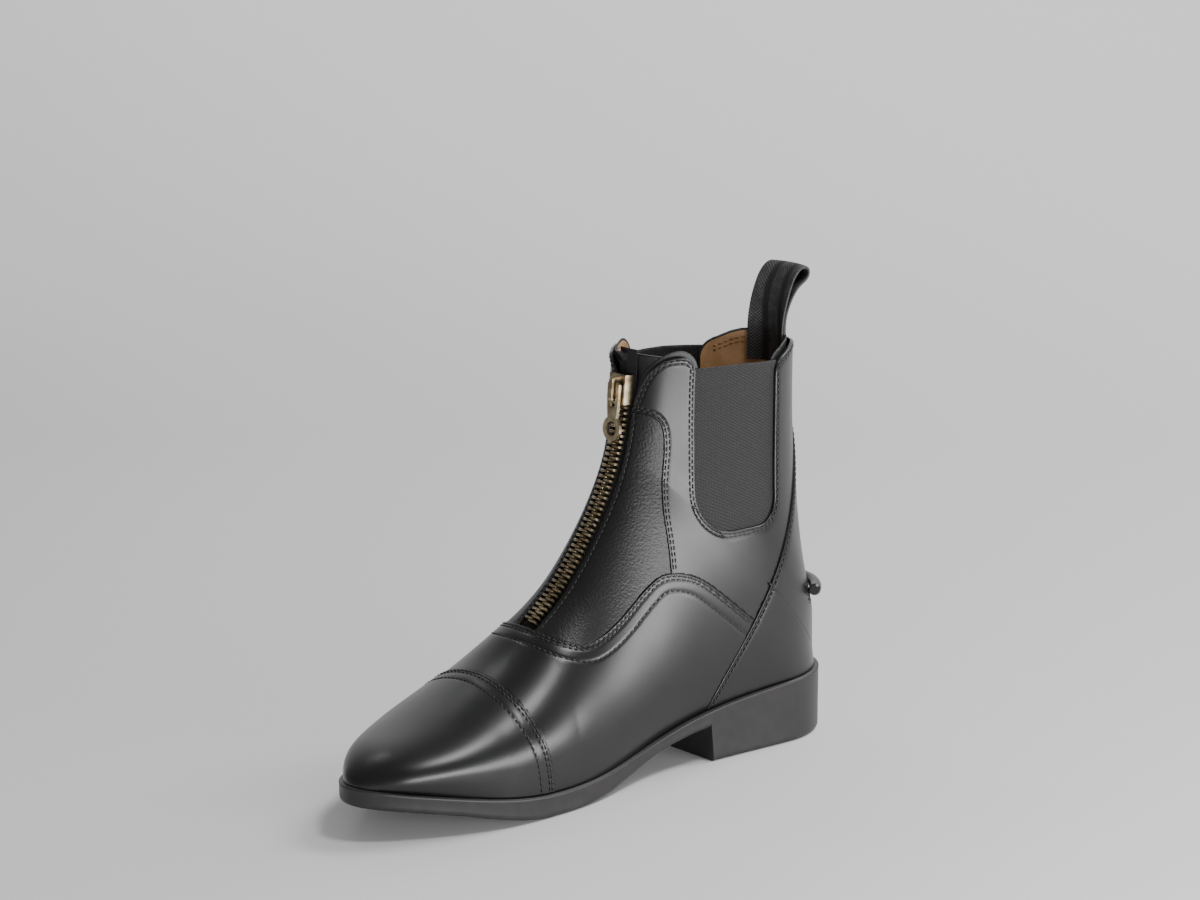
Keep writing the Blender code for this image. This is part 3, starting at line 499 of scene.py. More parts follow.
# %% Patterns as arithmetic
class Pattern:
    """Wraps a shader socket so that patterns can be written as arithmetic."""

    def __init__(self, tree, socket):
        self.tree, self.socket = tree, socket

    def math(self, operation, *others, turned=False):
        values = [self, *others]
        if turned:
            values.reverse()
        return self.tree.add("ShaderNodeMath", {"operation": operation},
                             {i: value for i, value in enumerate(values)})

    def __add__(self, other):
        return self.math("ADD", other)

    def __sub__(self, other):
        return self.math("SUBTRACT", other)

    def __mul__(self, other):
        return self.math("MULTIPLY", other)

    def __rsub__(self, other):
        return self.math("SUBTRACT", other, turned=True)

    __radd__ = __add__
    __rmul__ = __mul__

    def sine(self):
        return self.math("SINE")

    def smooth(self, low, high):
        """Runs smoothly from 0 at the low value to 1 at the high one."""
        return self.tree.add("ShaderNodeMapRange", {"interpolation_type": "SMOOTHSTEP"},
                             {0: self, 1: low, 2: high})

    def mix(self, low, high):
        """A colour between two, by this share."""
        return self.tree.add("ShaderNodeMix", {"data_type": "RGBA"}, {0: self, 6: low, 7: high}, 2)


print("patterns can be added, subtracted and multiplied, with numbers on either side")

# %% [markdown]
# A finish is one material. It holds the shader, adds nodes through a single method,
# and knows the few patterns that this boot needs.

# %% Materials with their patterns
class Finish:
    """A material with its shader, to which patterns are linked."""

    def __init__(self, name, colour, roughness, **values):
        self.material = bpy.data.materials.new(name)
        self.material.use_nodes = True
        self.nodes = self.material.node_tree
        self.shader = self.nodes.nodes["Principled BSDF"]
        self.put("Base Color", (*colour, 1) if isinstance(colour, tuple) else colour)
        self.put("Roughness", roughness)
        for key, value in values.items():
            self.put(key.replace("_", " "), value)

    def put(self, key, value, node=None):
        socket = (node or self.shader).inputs[key]
        if isinstance(value, Pattern):
            self.nodes.links.new(value.socket, socket)
        else:
            socket.default_value = value

    def add(self, kind, settings=None, inputs=None, output=0):
        node = self.nodes.nodes.new(kind)
        for key, value in (settings or {}).items():
            setattr(node, key, value)
        for key, value in (inputs or {}).items():
            self.put(key, value, node)
        return Pattern(self, node.outputs[output])

    def place(self):
        """The object's own coordinates, which stay with it when it moves."""
        return self.add("ShaderNodeTexCoord", output=3)

    def noise(self, size, detail=2.0):
        return self.add("ShaderNodeTexNoise", {}, {
            "Vector": self.place(), "Scale": 1 / size, "Detail": detail})

    def cells(self, size):
        return self.add("ShaderNodeTexVoronoi", {"feature": "SMOOTH_F1"}, {
            "Vector": self.place(), "Scale": 1 / size, "Smoothness": 0.4})

    def attribute(self, name):
        return self.add("ShaderNodeAttribute", {"attribute_name": name}, {}, 2)

    def bump(self, height, depth):
        """Raises the surface by a pattern of 0 to 1, as deep as given."""
        raised = {"Strength": 1.0, "Distance": depth, "Height": height}
        self.put("Normal", self.add("ShaderNodeBump", {}, raised))
        return self


print("a finish can be given noise, cells and a cloth's own marks")

# %% [markdown]
# The calf leather of the toe, vamp, counter and quarters is polished smooth. That of
# the facings is softer, with a pebbled grain. Both are almost black, so what the eye
# sees is their gloss, and a thin clear coat over a rougher skin gives its soft edge.

# %% Black leather and thread
def polished_leather(name, grain, depth, roughness, coat):
    finish = Finish(name, (0.002, 0.002, 0.0023), roughness, Specular_IOR_Level=0.45)
    finish.put("Coat Weight", coat)
    finish.put("Coat Roughness", 0.3)
    pebbles = finish.cells(grain)
    fine = finish.noise(grain * 0.6, 3.0)
    broad = finish.noise(14 * MM, 2.0)
    finish.put("Roughness", roughness + 0.10 * (broad - 0.5) + 0.08 * (fine - 0.5))
    return finish.bump(pebbles * 0.6 + fine * 0.4, depth).material


shiny = polished_leather("polished black leather", 0.6 * MM, 0.03 * MM, 0.34, 0.2)
soft = polished_leather("soft black leather", 1.1 * MM, 0.16 * MM, 0.42, 0.05)
thread = Finish("black thread", (0.008, 0.008, 0.0085), 0.45).material
thread_tan = Finish("tan thread", (0.28, 0.13, 0.05), 0.6).material


print("leather:", shiny.name, "and", soft.name)

# %% [markdown]
# The lining is undyed leather, with fine pores and broad shades of tan.

# %% Tan lining leather
def tan_leather():
    finish = Finish("tan lining leather", (0.5, 0.3, 0.15), 0.55)
    broad = finish.noise(9 * MM, 3.0)
    pores = finish.cells(0.8 * MM)
    finish.put("Base Color", (broad * 0.9).smooth(0.25, 0.7).mix(
        (0.43, 0.245, 0.115, 1), (0.58, 0.36, 0.19, 1)))
    return finish.bump(pores, 0.05 * MM).material


lining_tan = tan_leather()


print("lining:", lining_tan.name)

# %% [markdown]
# The sole is matt moulded rubber with a trace of dust. The zip is brass that was
# darkened and has worn bright in places, so its colour varies and it stays metal.

# %% Sole rubber and aged brass
def rubber_sole():
    finish = Finish("moulded black sole", (0.05, 0.046, 0.045), 0.5)
    dust = finish.noise(5 * MM, 4.0)
    finish.put("Base Color", dust.smooth(0.2, 0.8).mix((0.010, 0.009, 0.009, 1), (0.016, 0.0145, 0.014, 1)))
    finish.put("Roughness", 0.40 + 0.1 * dust)
    return finish.bump(finish.noise(0.6 * MM, 3.0), 0.02 * MM).material


sole_black = rubber_sole()


def aged_brass():
    finish = Finish("aged brass", (0.3, 0.23, 0.13), 0.34, Metallic=1.0)
    wear = finish.noise(4 * MM, 3.0)
    finish.put("Base Color", wear.smooth(0.3, 0.75).mix((0.24, 0.185, 0.11, 1), (0.46, 0.39, 0.27, 1)))
    finish.put("Roughness", 0.27 + 0.08 * wear)
    return finish.material


brass = aged_brass()


print("sole:", sole_black.name, "and zip:", brass.name)

# %% [markdown]
# Elastic and webbing are woven. Their threads follow the cloth, so they use marks
# that each point keeps: how far it lies across and up the cloth, in millimetres.

# %% Elastic, strap and tape
def ribbed_elastic():
    """Fine upright ribs crossed by slanted threads, from the panel's own marks."""
    finish = Finish("ribbed elastic", (0.02, 0.02, 0.02), 0.75)
    across = finish.attribute("across")
    up = finish.attribute("up")
    twill = ((up - across * 0.6) * (2 * pi / 1.4)).sine().smooth(-0.5, 0.7)
    threads = (across * (2 * pi / 1.1)).sine() * 0.4 + 0.6
    weave = twill * threads
    finish.put("Base Color", weave.mix((0.004, 0.004, 0.004, 1), (0.022, 0.022, 0.023, 1)))
    return finish.bump(weave, 0.25 * MM).material


elastic = ribbed_elastic()


def woven_strap():
    finish = Finish("woven strap", (0.02, 0.02, 0.02), 0.8)
    across = finish.attribute("across")
    up = finish.attribute("up")
    warp = (across * (2 * pi / 1.5)).sine()
    weft = (up * (2 * pi / 1.5)).sine()
    weave = (warp * weft) * 0.5 + 0.5
    middle = (across * (2 * pi / 9.5) + 1.2).sine().smooth(-0.9, 0.0)
    patches = finish.noise(5 * MM, 2.0).smooth(0.4, 0.6) * 0.4 + 0.6
    colour = (middle * patches * weave).mix((0.006, 0.006, 0.007, 1), (0.085, 0.085, 0.088, 1))
    finish.put("Base Color", colour)
    return finish.bump(weave, 0.2 * MM).material


strap = woven_strap()
cloth_tape = Finish("black zip tape", (0.008, 0.008, 0.008), 0.9).material
edge_black = Finish("painted leather edge", (0.015, 0.015, 0.015), 0.5).material
print("finishes:", len(bpy.data.materials))

# %% [markdown]
# ## Panels
#
# Every panel is a net cut to its lines, rolled over at its edges, pressed in a
# little along its stitches, and laid at its own height over the last. The real
# leather is about 1.3 mm thick, and shows that thickness only at its edges.

# %% Heights of the panels
TOE_ROW, VAMP_ROW, FACING_ROW = 7.0 * MM, 7.6 * MM, 1.8 * MM
# Heights of the outer faces over the last.
TOE, VAMP, COUNTER, FACING, QUARTER, UNDER = (
    0.5 * MM, 0.0, 0.5 * MM, -0.8 * MM, -0.3 * MM, -1.8 * MM)
THICK = 1.3 * MM
ROLL_SHARES = (0.12, 0.45, 1.0)
PRESS_DEPTH, PRESS_WIDTH = 0.26 * MM, 0.45 * MM
EDGE_CLEAR = 0.8 * MM        # stitches stop this far from another edge
FINE, MIDDLING = 0.8 * MM, 0.9 * MM  # steps of the nets


def rows_between(first, last, step):
    """Rows evenly apart on the last's side, in metres."""
    rows = np.linspace(first, last, 400)
    reach = lengths_along(last_point(rows, 0.3))
    return np.interp(np.linspace(0, reach[-1], int(reach[-1] / step) + 2), reach, rows)


def mesh_piece(name, points, faces, finish, slot, nodes=()):
    """A piece that rides with the boot, in place of the CAD pieces that it names."""
    mesh = bpy.data.meshes.new(name)
    mesh.from_pydata([tuple(p) for p in points], [], [tuple(f) for f in faces])
    mesh.materials.append(finish)
    mesh.shade_smooth()
    piece = bpy.data.objects.new(name, mesh)
    bpy.context.scene.collection.objects.link(piece)
    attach(piece, "boot")
    if nodes:
        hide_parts(*nodes)
    return piece


print("nets have steps of", FINE / MM, "to", MIDDLING / MM, "mm")

# %% [markdown]
# A turned edge drops in a quarter circle, and stitches pull a shallow groove. Both
# are real shapes here and no bump, because light catches them along every seam.

# %% Turned edges and stitch grooves
def rolled(distance, roll=ROLL, thick=THICK):
    """How far a turned edge drops at a distance from it."""
    share = np.clip(distance / roll, 0, 1)
    return (thick * 0.55) * (1 - np.sqrt(1 - (1 - share) ** 2))


def pressed(distance, rows):
    """How far the stitches pull the leather in."""
    drop = np.zeros_like(distance)
    for place in rows:
        drop += PRESS_DEPTH * np.exp(-((distance - place) / PRESS_WIDTH) ** 2)
    return drop


print("an edge drops", round(rolled(0.0) / MM, 2), "mm")

# %% [markdown]
# Worn or fitted leather has soft folds at the ankle, and the collar's back flares a
# little. At the zip's top the far flap turns outward. One function bends all the
# layers alike, so none comes through another.

# %% Folds in the leather
def girth_length(row):
    """Length over the crown for a whole share of the girth, at a row."""
    small = 0.002
    reach = last_point(row, 0.5 + small) - last_point(row, 0.5 - small)
    return np.linalg.norm(reach, axis=-1) / (2 * small)


FLAP_TURN = 4.2 * MM
FLAP_WIDTH = 7 * MM
BACK_FLARE = 1.8 * MM
TOP_ROW = 1.012              # the collar's back stands a little above the last's last row
# Folds: depth, row, lean of the row with the girth, girth, half width and half length.
FOLDS = (
    (0.35 * MM, 0.560, 0.30, 0.26, 0.030, 0.09),
    (0.30 * MM, 0.640, 0.20, 0.20, 0.030, 0.08),
    (0.35 * MM, 0.560, -0.30, 0.74, 0.030, 0.09),
    (0.25 * MM, 0.300, 0.05, 0.30, 0.025, 0.12),
    (0.25 * MM, 0.330, -0.05, 0.68, 0.025, 0.12),
    (0.25 * MM, 0.830, 0.10, 0.10, 0.025, 0.05),
    (0.25 * MM, 0.760, -0.10, 0.92, 0.025, 0.05),
)


def relief(row, girth):
    """Folds and dents that the leather has taken, the same for every layer."""
    past_slot = np.maximum((girth - 0.5) * girth_length(row) - SLOT / 2, 0)
    turned = np.clip((row - 0.93) / 0.07, 0, 1) ** 1.6
    flap = FLAP_TURN * turned * np.exp(-(past_slot / FLAP_WIDTH) ** 2) * (girth > 0.5)
    near = 0.8 * MM * turned * np.exp(-((girth - 0.46) / 0.03) ** 2)
    back = BACK_FLARE * np.clip((row - 0.94) / 0.06, 0, 1.2) ** 1.5
    back = back * np.exp(-(np.minimum(girth, 1 - girth) / 0.13) ** 4)
    folds = 0
    for deep, row_at, lean, girth_at, wide, long in FOLDS:
        across = (row - row_at - lean * (girth - girth_at)) / wide
        folds = folds - deep * np.exp(-across ** 2 - ((girth - girth_at) / long) ** 2)
    return flap + near + back + folds


print("folds:", len(FOLDS))

# %% [markdown]
# A panel is cut, rolled, sewn and turned down at its rim, in that order. The lines
# of its stitches are kept for later, when the thread is laid.

# %% Cutting and sewing a panel
stitch_lines = []


def mark_stitches(points, triangles, column, place, high):
    """Notes lines of stitches this far in from an edge, clear of the other edges."""
    others = [n for n in range(2, points.shape[1]) if n != column]
    for numbers in level_lines(points, triangles, column, place):
        line = points[numbers]
        clear = (line[:, others] > EDGE_CLEAR).all(1)
        stitch_lines.append((line[clear], high))


def add_rim(places, faces, triangles, low):
    """Turns a skin's open sides down to the points below them."""
    first = len(places) - len(low)
    under = {}
    for a, b in open_sides(triangles):
        for i in (a, b):
            if i not in under:
                under[i] = len(places)
                places.append(low[i])
        faces.append([b + first, a + first, under[a], under[b]])


def panel(name, halves, lines, high, finish, nodes, slot, edge=(0,), sew=None):
    """Cuts a panel out of nets. Edge numbers the lines to roll, sew has stitch rows for each."""
    sew = sew or {}
    places, faces = [], []
    for rows, girths in halves:
        points, triangles = cut_net(rows, girths, lines)
        for k in edge:
            for share in ROLL_SHARES:
                points, triangles = split_at(points, triangles, 2 + k, ROLL * share)
        for k, distances in sew.items():
            for distance in distances:
                points, triangles = split_at(points, triangles, 2 + k, distance)
                mark_stitches(points, triangles, 2 + k, distance, high)
        used, triangles = np.unique(triangles, return_inverse=True)
        triangles = triangles.reshape(-1, 3)
        points = points[used]
        row, girth = points[:, 0], points[:, 1]
        bend = relief(row, girth)
        off = high + bend
        for k in edge:
            off -= rolled(points[:, 2 + k])
        for k, distances in sew.items():
            off -= pressed(points[:, 2 + k], distances)
        faces += (triangles + len(places)).tolist()
        places += list(surface(row, girth, off))
        add_rim(places, faces, triangles, surface(row, girth, high - THICK + bend))
    print(name, "has", len(faces), "faces")
    return mesh_piece(name, places, faces, finish, slot, nodes)


print("stitches stay", EDGE_CLEAR / MM, "mm clear of other edges")

# %% [markdown]
# The seams are drawn as a pattern maker draws them, in side view. They were read off
# the photograph. Each side of the boot is cut by the same lines.

# %% Seams in side view
toe_line = smooth_line(TOE_SEAM, 160)[::-1]
vamp_line = smooth_line(VAMP_SEAM, 240)
counter_line = smooth_line(COUNTER_SEAM, 240)
front_line = smooth_line(QUARTER_FRONT, 200)
# Tops of the quarter and of the elastic, from the front to the back.
top_line = np.array([
    (2.0, 0.688), (0.404, 0.6895), (0.385, 0.693), (0.365, 0.695), (0.340, 0.692), (0.300, 0.685),
    (0.200, 0.670), (0.165, 0.6665), (0.150, 0.668), (0.133, 0.673), (0.115, 0.680), (0.100, 0.684),
    (0.085, 0.685), (0.060, 0.683), (-1.0, 0.682)])
gore_top = np.array([
    (2.0, 0.674), (0.339, 0.673), (0.294, 0.6735), (0.241, 0.672), (0.155, 0.6655), (-1.0, 0.660)])
# Half the slot's width in mm at rows up the leg: the quarter's front corner curves away from it.
SLOT_ROWS = ((0.0, 6.5), (0.842, 6.5), (0.878, 8.1), (0.913, 10.2), (0.95, 13.5), (1.0, 18.0))
FAR_SLOT_ROWS = ((0.0, 6.5), (0.93, 6.8), (1.0, 9.0))
STRAIGHT_SLOT = ((0.0, 6.5), (1.0, 6.5))
TOP_CORNER, GORE_CORNER = 7 * MM, 6 * MM


print("seams:", len(toe_line), len(vamp_line), len(counter_line), len(front_line), "points")

# %% [markdown]
# Some edges aren't lines in side view: the zip's slot has an even width over the
# crown, and the quarter's folded edge runs up the slot, over the top and round the
# elastic with rounded corners. Such an edge is a function of the net instead.

# %% Edges of the slot, the top and the elastic
def slot_gap(rows, girths, place, near=STRAIGHT_SLOT, far=STRAIGHT_SLOT):
    """Distance outside the zip's slot, which has a round end at the vamp."""
    near, far = (np.interp(rows, *np.array(table).T)[:, None] * MM for table in (near, far))
    half = np.where(girths[None, :] > 0.5, far, near)
    aside = np.abs(girths - 0.5)[None, :] * girth_length(rows)[:, None]
    crown = last_point(rows, 0.5)
    step = np.linalg.norm(np.gradient(crown, rows, axis=0), axis=-1)[:, None]
    behind = np.maximum(ZIP_END - rows, 0)[:, None] * step
    return np.hypot(aside, behind) - half


def rounded(first, second, radius):
    """The lesser of two distances inside an edge, with the corner between them rounded."""
    corner = radius - np.hypot(radius - first, radius - second)
    return np.where((first < radius) & (second < radius), corner, np.minimum(first, second))


def below(line):
    """Height left under a line drawn in side view from the heel's side forward."""
    def measure(rows, girths, place):
        along, height = line[np.argsort(line[:, 0])].T
        return np.interp(place[..., 0] / LENGTH, along, height) * LENGTH - place[..., 2]
    return measure


def gore_edge():
    """The elastic's U, down its front edge and up its rear one."""
    def arc(along, height, radius, start, end):
        turns = np.radians(np.linspace(start, end, 12))
        return [(along + radius * cos(t), height + radius * sin(t)) for t in turns]

    front = arc(GORE_FRONT - GORE_FRONT_ROUND, GORE_BOTTOM + GORE_FRONT_ROUND, GORE_FRONT_ROUND, 0, -90)
    rear = arc(GORE_REAR + GORE_REAR_ROUND, GORE_BOTTOM + GORE_REAR_ROUND, GORE_REAR_ROUND, 270, 180)
    return np.array([(GORE_FRONT, 2.0), *front, *rear, (GORE_REAR, 2.0)])


gore_line = gore_edge()


def quarter_edge(rows, girths, place):
    """Distance inside the quarter's folded edge: up the slot, over the top, round the elastic."""
    front = slot_gap(rows, girths, place, SLOT_ROWS, FAR_SLOT_ROWS)
    top = below(top_line)(rows, girths, place)
    gore = surface_distance(gore_line, rows, girths, place)
    return rounded(rounded(front, top, TOP_CORNER), gore, GORE_CORNER)


print("the elastic's edge has", len(gore_line), "points")

# %% [markdown]
# The toe cap and the vamp run over the crown in one piece each, so their nets span
# the whole girth. The toe cap lies over the vamp.

# %% Toe cap and vamp
whole = np.linspace(0, 1, 300)
double = {0: STITCH_ROWS}
toe_rows = np.r_[0, rows_between(0.002, 0.40, MIDDLING)]
panel("toe_cap_leather", [(toe_rows, whole)], [toe_line], TOE, shiny, ["toe_cap"], "leather",
      sew={0: (*STITCH_ROWS, TOE_ROW)})
panel("vamp_leather", [(rows_between(0.28, 0.72, MIDDLING), whole)],
      [toe_line[::-1], vamp_line, counter_line[::-1]], VAMP, shiny, ["vamp"], "leather",
      edge=(1,), sew={1: (*STITCH_ROWS, VAMP_ROW)})

# %% [markdown]
# The counter wraps the heel, and is cut as two halves that meet at the back. The
# quarters close the leg on each side, and the softer facings lie beside the zip.

# %% Counter, quarters and facings
counter_rows = np.r_[rows_between(0.56, CLOSED - 0.003, FINE), rows_between(CLOSED, 0.99, FINE)]
panel("counter_leather",
      [(counter_rows, np.linspace(0, 0.30, 110)), (counter_rows, np.linspace(1, 0.70, 110))],
      [counter_line], COUNTER, shiny, ["counter"], "leather", sew=double)
quarter_rows = rows_between(0.52, TOP_ROW, FINE)
facing_rows = rows_between(0.37, 0.95, FINE)
for label, start in (("outer", 0), ("inner", 1)):
    girths = np.linspace(start, 0.5, 190)
    panel("quarter_" + label + "_leather", [(quarter_rows, girths)],
          [front_line, vamp_line[::-1], counter_line[::-1], quarter_edge],
          QUARTER, shiny, ["quarter_" + label], "leather", edge=(0, 3),
          sew={0: STITCH_ROWS, 3: STITCH_ROWS})
    panel("facing_" + label + "_leather", [(facing_rows, girths)],
          [front_line[::-1], vamp_line[::-1], slot_gap], FACING, soft, ["facing_" + label],
          "soft_leather", edge=(2,), sew={2: (FACING_ROW,)})
print("panels laid:", len(stitch_lines), "rows of stitches")

# %% [markdown]
# ## Lining, elastic and guard
#
# Behind the quarters a black backing shows as a narrow edge round their tops. The
# tan lining covers its inner face. The elastic lies between them, and a guard
# behind the zip keeps it off the sock. All are thin sheets, which take less than a
# solid would; most have two faces and show their edges, the linings only their inner face.

# %% Thin sheets
GIRTH = 260 * MM             # length of the leg's girth, for the weave's marks
SHEET_ROLL = 0.4 * MM
LAP = 3 * MM                 # the elastic reaches this far under the quarter
# How far the backing and the lining reach out over the quarter's edge.
BACKING_OVER, LINING_OVER = 2.3 * MM, 1.2 * MM
# Outer and inner faces of the elastic, the backing and the guard.
ELASTIC = (UNDER, -3.2 * MM)
BACKING = (-3.3 * MM, -3.75 * MM)
GUARD = (-3.95 * MM, -5.2 * MM)
SKIN = (-0.1 * MM, -0.15 * MM)  # the tan lining's skin round what it covers
ONLY_INNER = (False, True)


def add_marks(piece, marks):
    """Keeps for each point how far it lies across and up the cloth, in mm."""
    for key, values in zip(("across", "up"), np.array(marks).T):
        piece.data.attributes.new(key, "FLOAT", "POINT").data.foreach_set("value", values)


def shell(name, halves, lines, high, low, finish, slot, nodes=(), sides=(True, True)):
    """A thin sheet between two distances off the last, with its outer side, its inner one or both."""
    places, faces, marks = [], [], []
    for rows, girths in halves:
        points, triangles = cut_net(rows, girths, lines)
        used, triangles = np.unique(triangles, return_inverse=True)
        triangles = triangles.reshape(-1, 3)
        row, girth = points[used, 0], points[used, 1]
        bend = relief(row, girth)
        inset = sum(rolled(points[used, 2 + k], SHEET_ROLL, high - low) for k in range(len(lines)))
        first, count = len(places), len(used)
        places += list(surface(row, girth, high + bend - inset * 0.5))
        places += list(surface(row, girth, low + bend + inset * 0.3))
        mark = np.c_[girth * GIRTH / MM, last_point(row, girth)[:, 2] / MM]
        marks += list(mark) * 2
        top, under = triangles + first, triangles[:, ::-1] + first + count
        faces += (top.tolist() if sides[0] else []) + (under.tolist() if sides[1] else [])
        if all(sides):
            faces += [[b + first, a + first, a + first + count, b + first + count]
                      for a, b in open_sides(triangles)]
    piece = mesh_piece(name, places, faces, finish, slot, nodes)
    add_marks(piece, marks)
    print(name, "has", len(faces), "faces")
    return piece


def grown(measure, more):
    """The same edge moved out by a distance."""
    return lambda *spots: measure(*spots) + more


def gore_inside(rows, girths, place):
    """Distance inside the elastic, which reaches a lap under the quarter."""
    return -surface_distance(gore_line, rows, girths, place)


def lined(faces):
    """Outer and inner distance of the lining over these faces."""
    return faces[0] + SKIN[0], faces[1] + SKIN[1]


print("the lining lies", [round(off / MM, 2) for off in lined(BACKING)], "mm off the last")

# %% [markdown]
# Each elastic panel fills its U and reaches a lap under the quarter, where it is
# sewn in. Its top is straight, a little below the quarter's.

# %% Elastic panels
leg_rows = rows_between(0.58, TOP_ROW, MIDDLING)
sides = [np.linspace(start, 0.5, 150) for start in (0.0, 1.0)]
for label, girths in zip(("outer", "inner"), sides):
    shell("gore_" + label + "_elastic", [(leg_rows, girths)], [grown(gore_inside, LAP), below(gore_top)],
          *ELASTIC, elastic, "elastic", ["gore_" + label])

# %% [markdown]
# The backing stands out over the quarter's edge, as the dark rim that the real
# collar shows. The lining takes the place of the CAD model's inner wall.

# %% Backing and lining
back_rows = rows_between(0.75, TOP_ROW + 0.006, MIDDLING)
shell("top_backing", [(back_rows, girths) for girths in sides], [grown(quarter_edge, BACKING_OVER)],
      *BACKING, edge_black, "leather")
lining_rows = rows_between(0.004, TOP_ROW + 0.004, 1.3 * MM)
shell("lining_sheet", [(lining_rows, np.linspace(start, 0.5, 120)) for start in (0.0, 1.0)],
      [grown(quarter_edge, LINING_OVER)], *lined(BACKING), lining_tan, "lining", ["upper"], ONLY_INNER)

# %% [markdown]
# The guard is a strip of soft leather behind the zip, a little wider than its slot,
# and lined with tan leather on the foot's side.

# %% Guard behind the zip
guard_rows = rows_between(ZIP_END + 0.01, 0.986, 1.2 * MM)
shell("zip_guard_face", [(guard_rows, np.linspace(0.36, 0.64, 60))], [], *GUARD, soft, "soft_leather",
      ["zip_guard"])
shell("zip_guard_lining", [(guard_rows, np.linspace(0.362, 0.638, 60))], [], *lined(GUARD),
      lining_tan, "lining", (), ONLY_INNER)

# %% [markdown]
# ## The brass zip
#
# Each tooth is a small brass bar clamped on the tape's edge. The two rows stand
# half a pitch apart, so that they lock between each other below the slider. An
# array modifier could repeat them, but each has to stand square on a curved instep.

# %% One tooth
TOOTH_PITCH = 2.5 * MM
FIRST_TOOTH = 0.6 * MM
# A tooth's outline seen from its end, in mm up the zip and out of it.
TOOTH_OUTLINE = ((-0.62, -2.4), (-0.66, -0.35), (-0.52, 0.1), (-0.25, 0.36), (0.25, 0.36),
                 (0.52, 0.1), (0.66, -0.35), (0.62, -2.4))
# Places across the zip in mm, with the outline's width there and its drop.
TOOTH_PLACES = ((-4.0, 0.8, -0.25), (-3.7, 1.0, 0), (-0.9, 1.0, 0), (-0.1, 0.92, 0),
                (0.5, 0.7, -0.2), (0.7, 0.45, -0.5))


def zip_axes(row, off=0.0):
    """Place at the zip with the directions across it, up it and out of it."""
    small = 0.01
    origin = surface(row, 0.5, off)
    up = unit(surface(row + small, 0.5, off) - surface(row - small, 0.5, off))
    out = last_normal(row, 0.5) * (-1, -1, 1)
    across = unit(np.cross(up, out))
    return origin, across, up, np.cross(across, up)


def tooth(side):
    """Points of one tooth as across, up and out, and its faces. Its foot stays level."""
    points = [(side * across, up * share, out + drop if out > -2 else out)
              for across, share, drop in TOOTH_PLACES for up, out in TOOTH_OUTLINE]
    size = len(TOOTH_OUTLINE)
    faces = wrap(len(TOOTH_PLACES), size)
    faces.append(tuple(range(size - 1, -1, -1)))
    faces.append(tuple(range(len(points) - size, len(points))))
    return np.array(points) * MM, faces


def sharpen(piece, degrees=32):
    """Keeps edges sharp where faces meet at more than this angle."""
    piece.data.set_sharp_from_angle(angle=radians(degrees))
    return piece


print("a tooth has", len(tooth(1)[1]), "faces")

# %% [markdown]
# Teeth are set along the crown at equal steps, first those of one side and then
# those of the other, and all become one mesh.

# %% Two rows of teeth
def zip_teeth():
    """Both rows of teeth, from the vamp to the slider."""
    rows = np.linspace(ZIP_END + 0.02, SLIDER_ROW, 300)
    reach = lengths_along(last_point(rows, 0.5))
    places, faces = [], []
    for side, start in ((-1, FIRST_TOOTH), (1, FIRST_TOOTH + TOOTH_PITCH / 2)):
        shape, sides = tooth(side)
        for run in np.arange(start, reach[-1], TOOTH_PITCH):
            origin, across, up, out = zip_axes(float(np.interp(run, reach, rows)))
            first = len(places)
            places += list(origin + shape @ np.array([across, up, out]))
            faces += [tuple(first + n for n in face) for face in sides]
    sharpen(mesh_piece("brass_teeth", places, faces, brass, "brass", ["zip_teeth"]))
    print("teeth:", len(places) // len(tooth(1)[0]))


zip_teeth()

# %% [markdown]
# The slider and its tab are die cast, so their edges are softly rounded. They,
# the tape and the insole keep the CAD shapes, with a bevel on each. A modifier is
# enough, since it leaves the CAD piece itself as it is.

# %% Slider, tab, tape and insole
def soften(node, finish, width):
    """Rounds the edges of a CAD piece and gives it its finish."""
    thing = NODES[node]
    bevel = thing.modifiers.new("soft edges", "BEVEL")
    bevel.width = width
    bevel.segments = 3
    bevel.limit_method = "ANGLE"
    bevel.angle_limit = radians(28)
    bevel.harden_normals = True
    for spot in range(len(thing.data.materials)):
        thing.data.materials[spot] = finish


for name, finish, width in (("zip_slider", brass, 0.35 * MM), ("zip_pull", brass, 0.4 * MM),
                            ("zip_tape", cloth_tape, 0.1 * MM), ("insole", lining_tan, 0.8 * MM)):
    soften(name, finish, width)
print("softened the slider, the tab, the tape and the insole")

# %% [markdown]
# ## Pull loop
#
# A strap of webbing, sewn inside the collar's back. It follows the collar where
# it is sewn in, flattens above it, and folds over to the rear. Cloth simulation
# could drape it, but a drawn line keeps it as the photograph shows it.

# %% Pull loop
LOOP_WIDTH = 22.5 * MM
LOOP_THICK = 1.3 * MM
LOOP_BEND = 14.0 * MM
LOOP_WAVE, WAVE_LENGTH = 0.5 * MM, 9 * MM
# The strap seen from the side, from its outer foot over the top to its inner foot.
LOOP_LINE = (
    (0.0790, 0.640), (0.0790, 0.685), (0.0805, 0.730), (0.0745, 0.768), (0.0580, 0.795),
    (0.0430, 0.803), (0.0320, 0.799), (0.0310, 0.789), (0.0400, 0.780), (0.0550, 0.770),
    (0.0680, 0.752), (0.0750, 0.726), (0.0740, 0.685), (0.0740, 0.640),
)


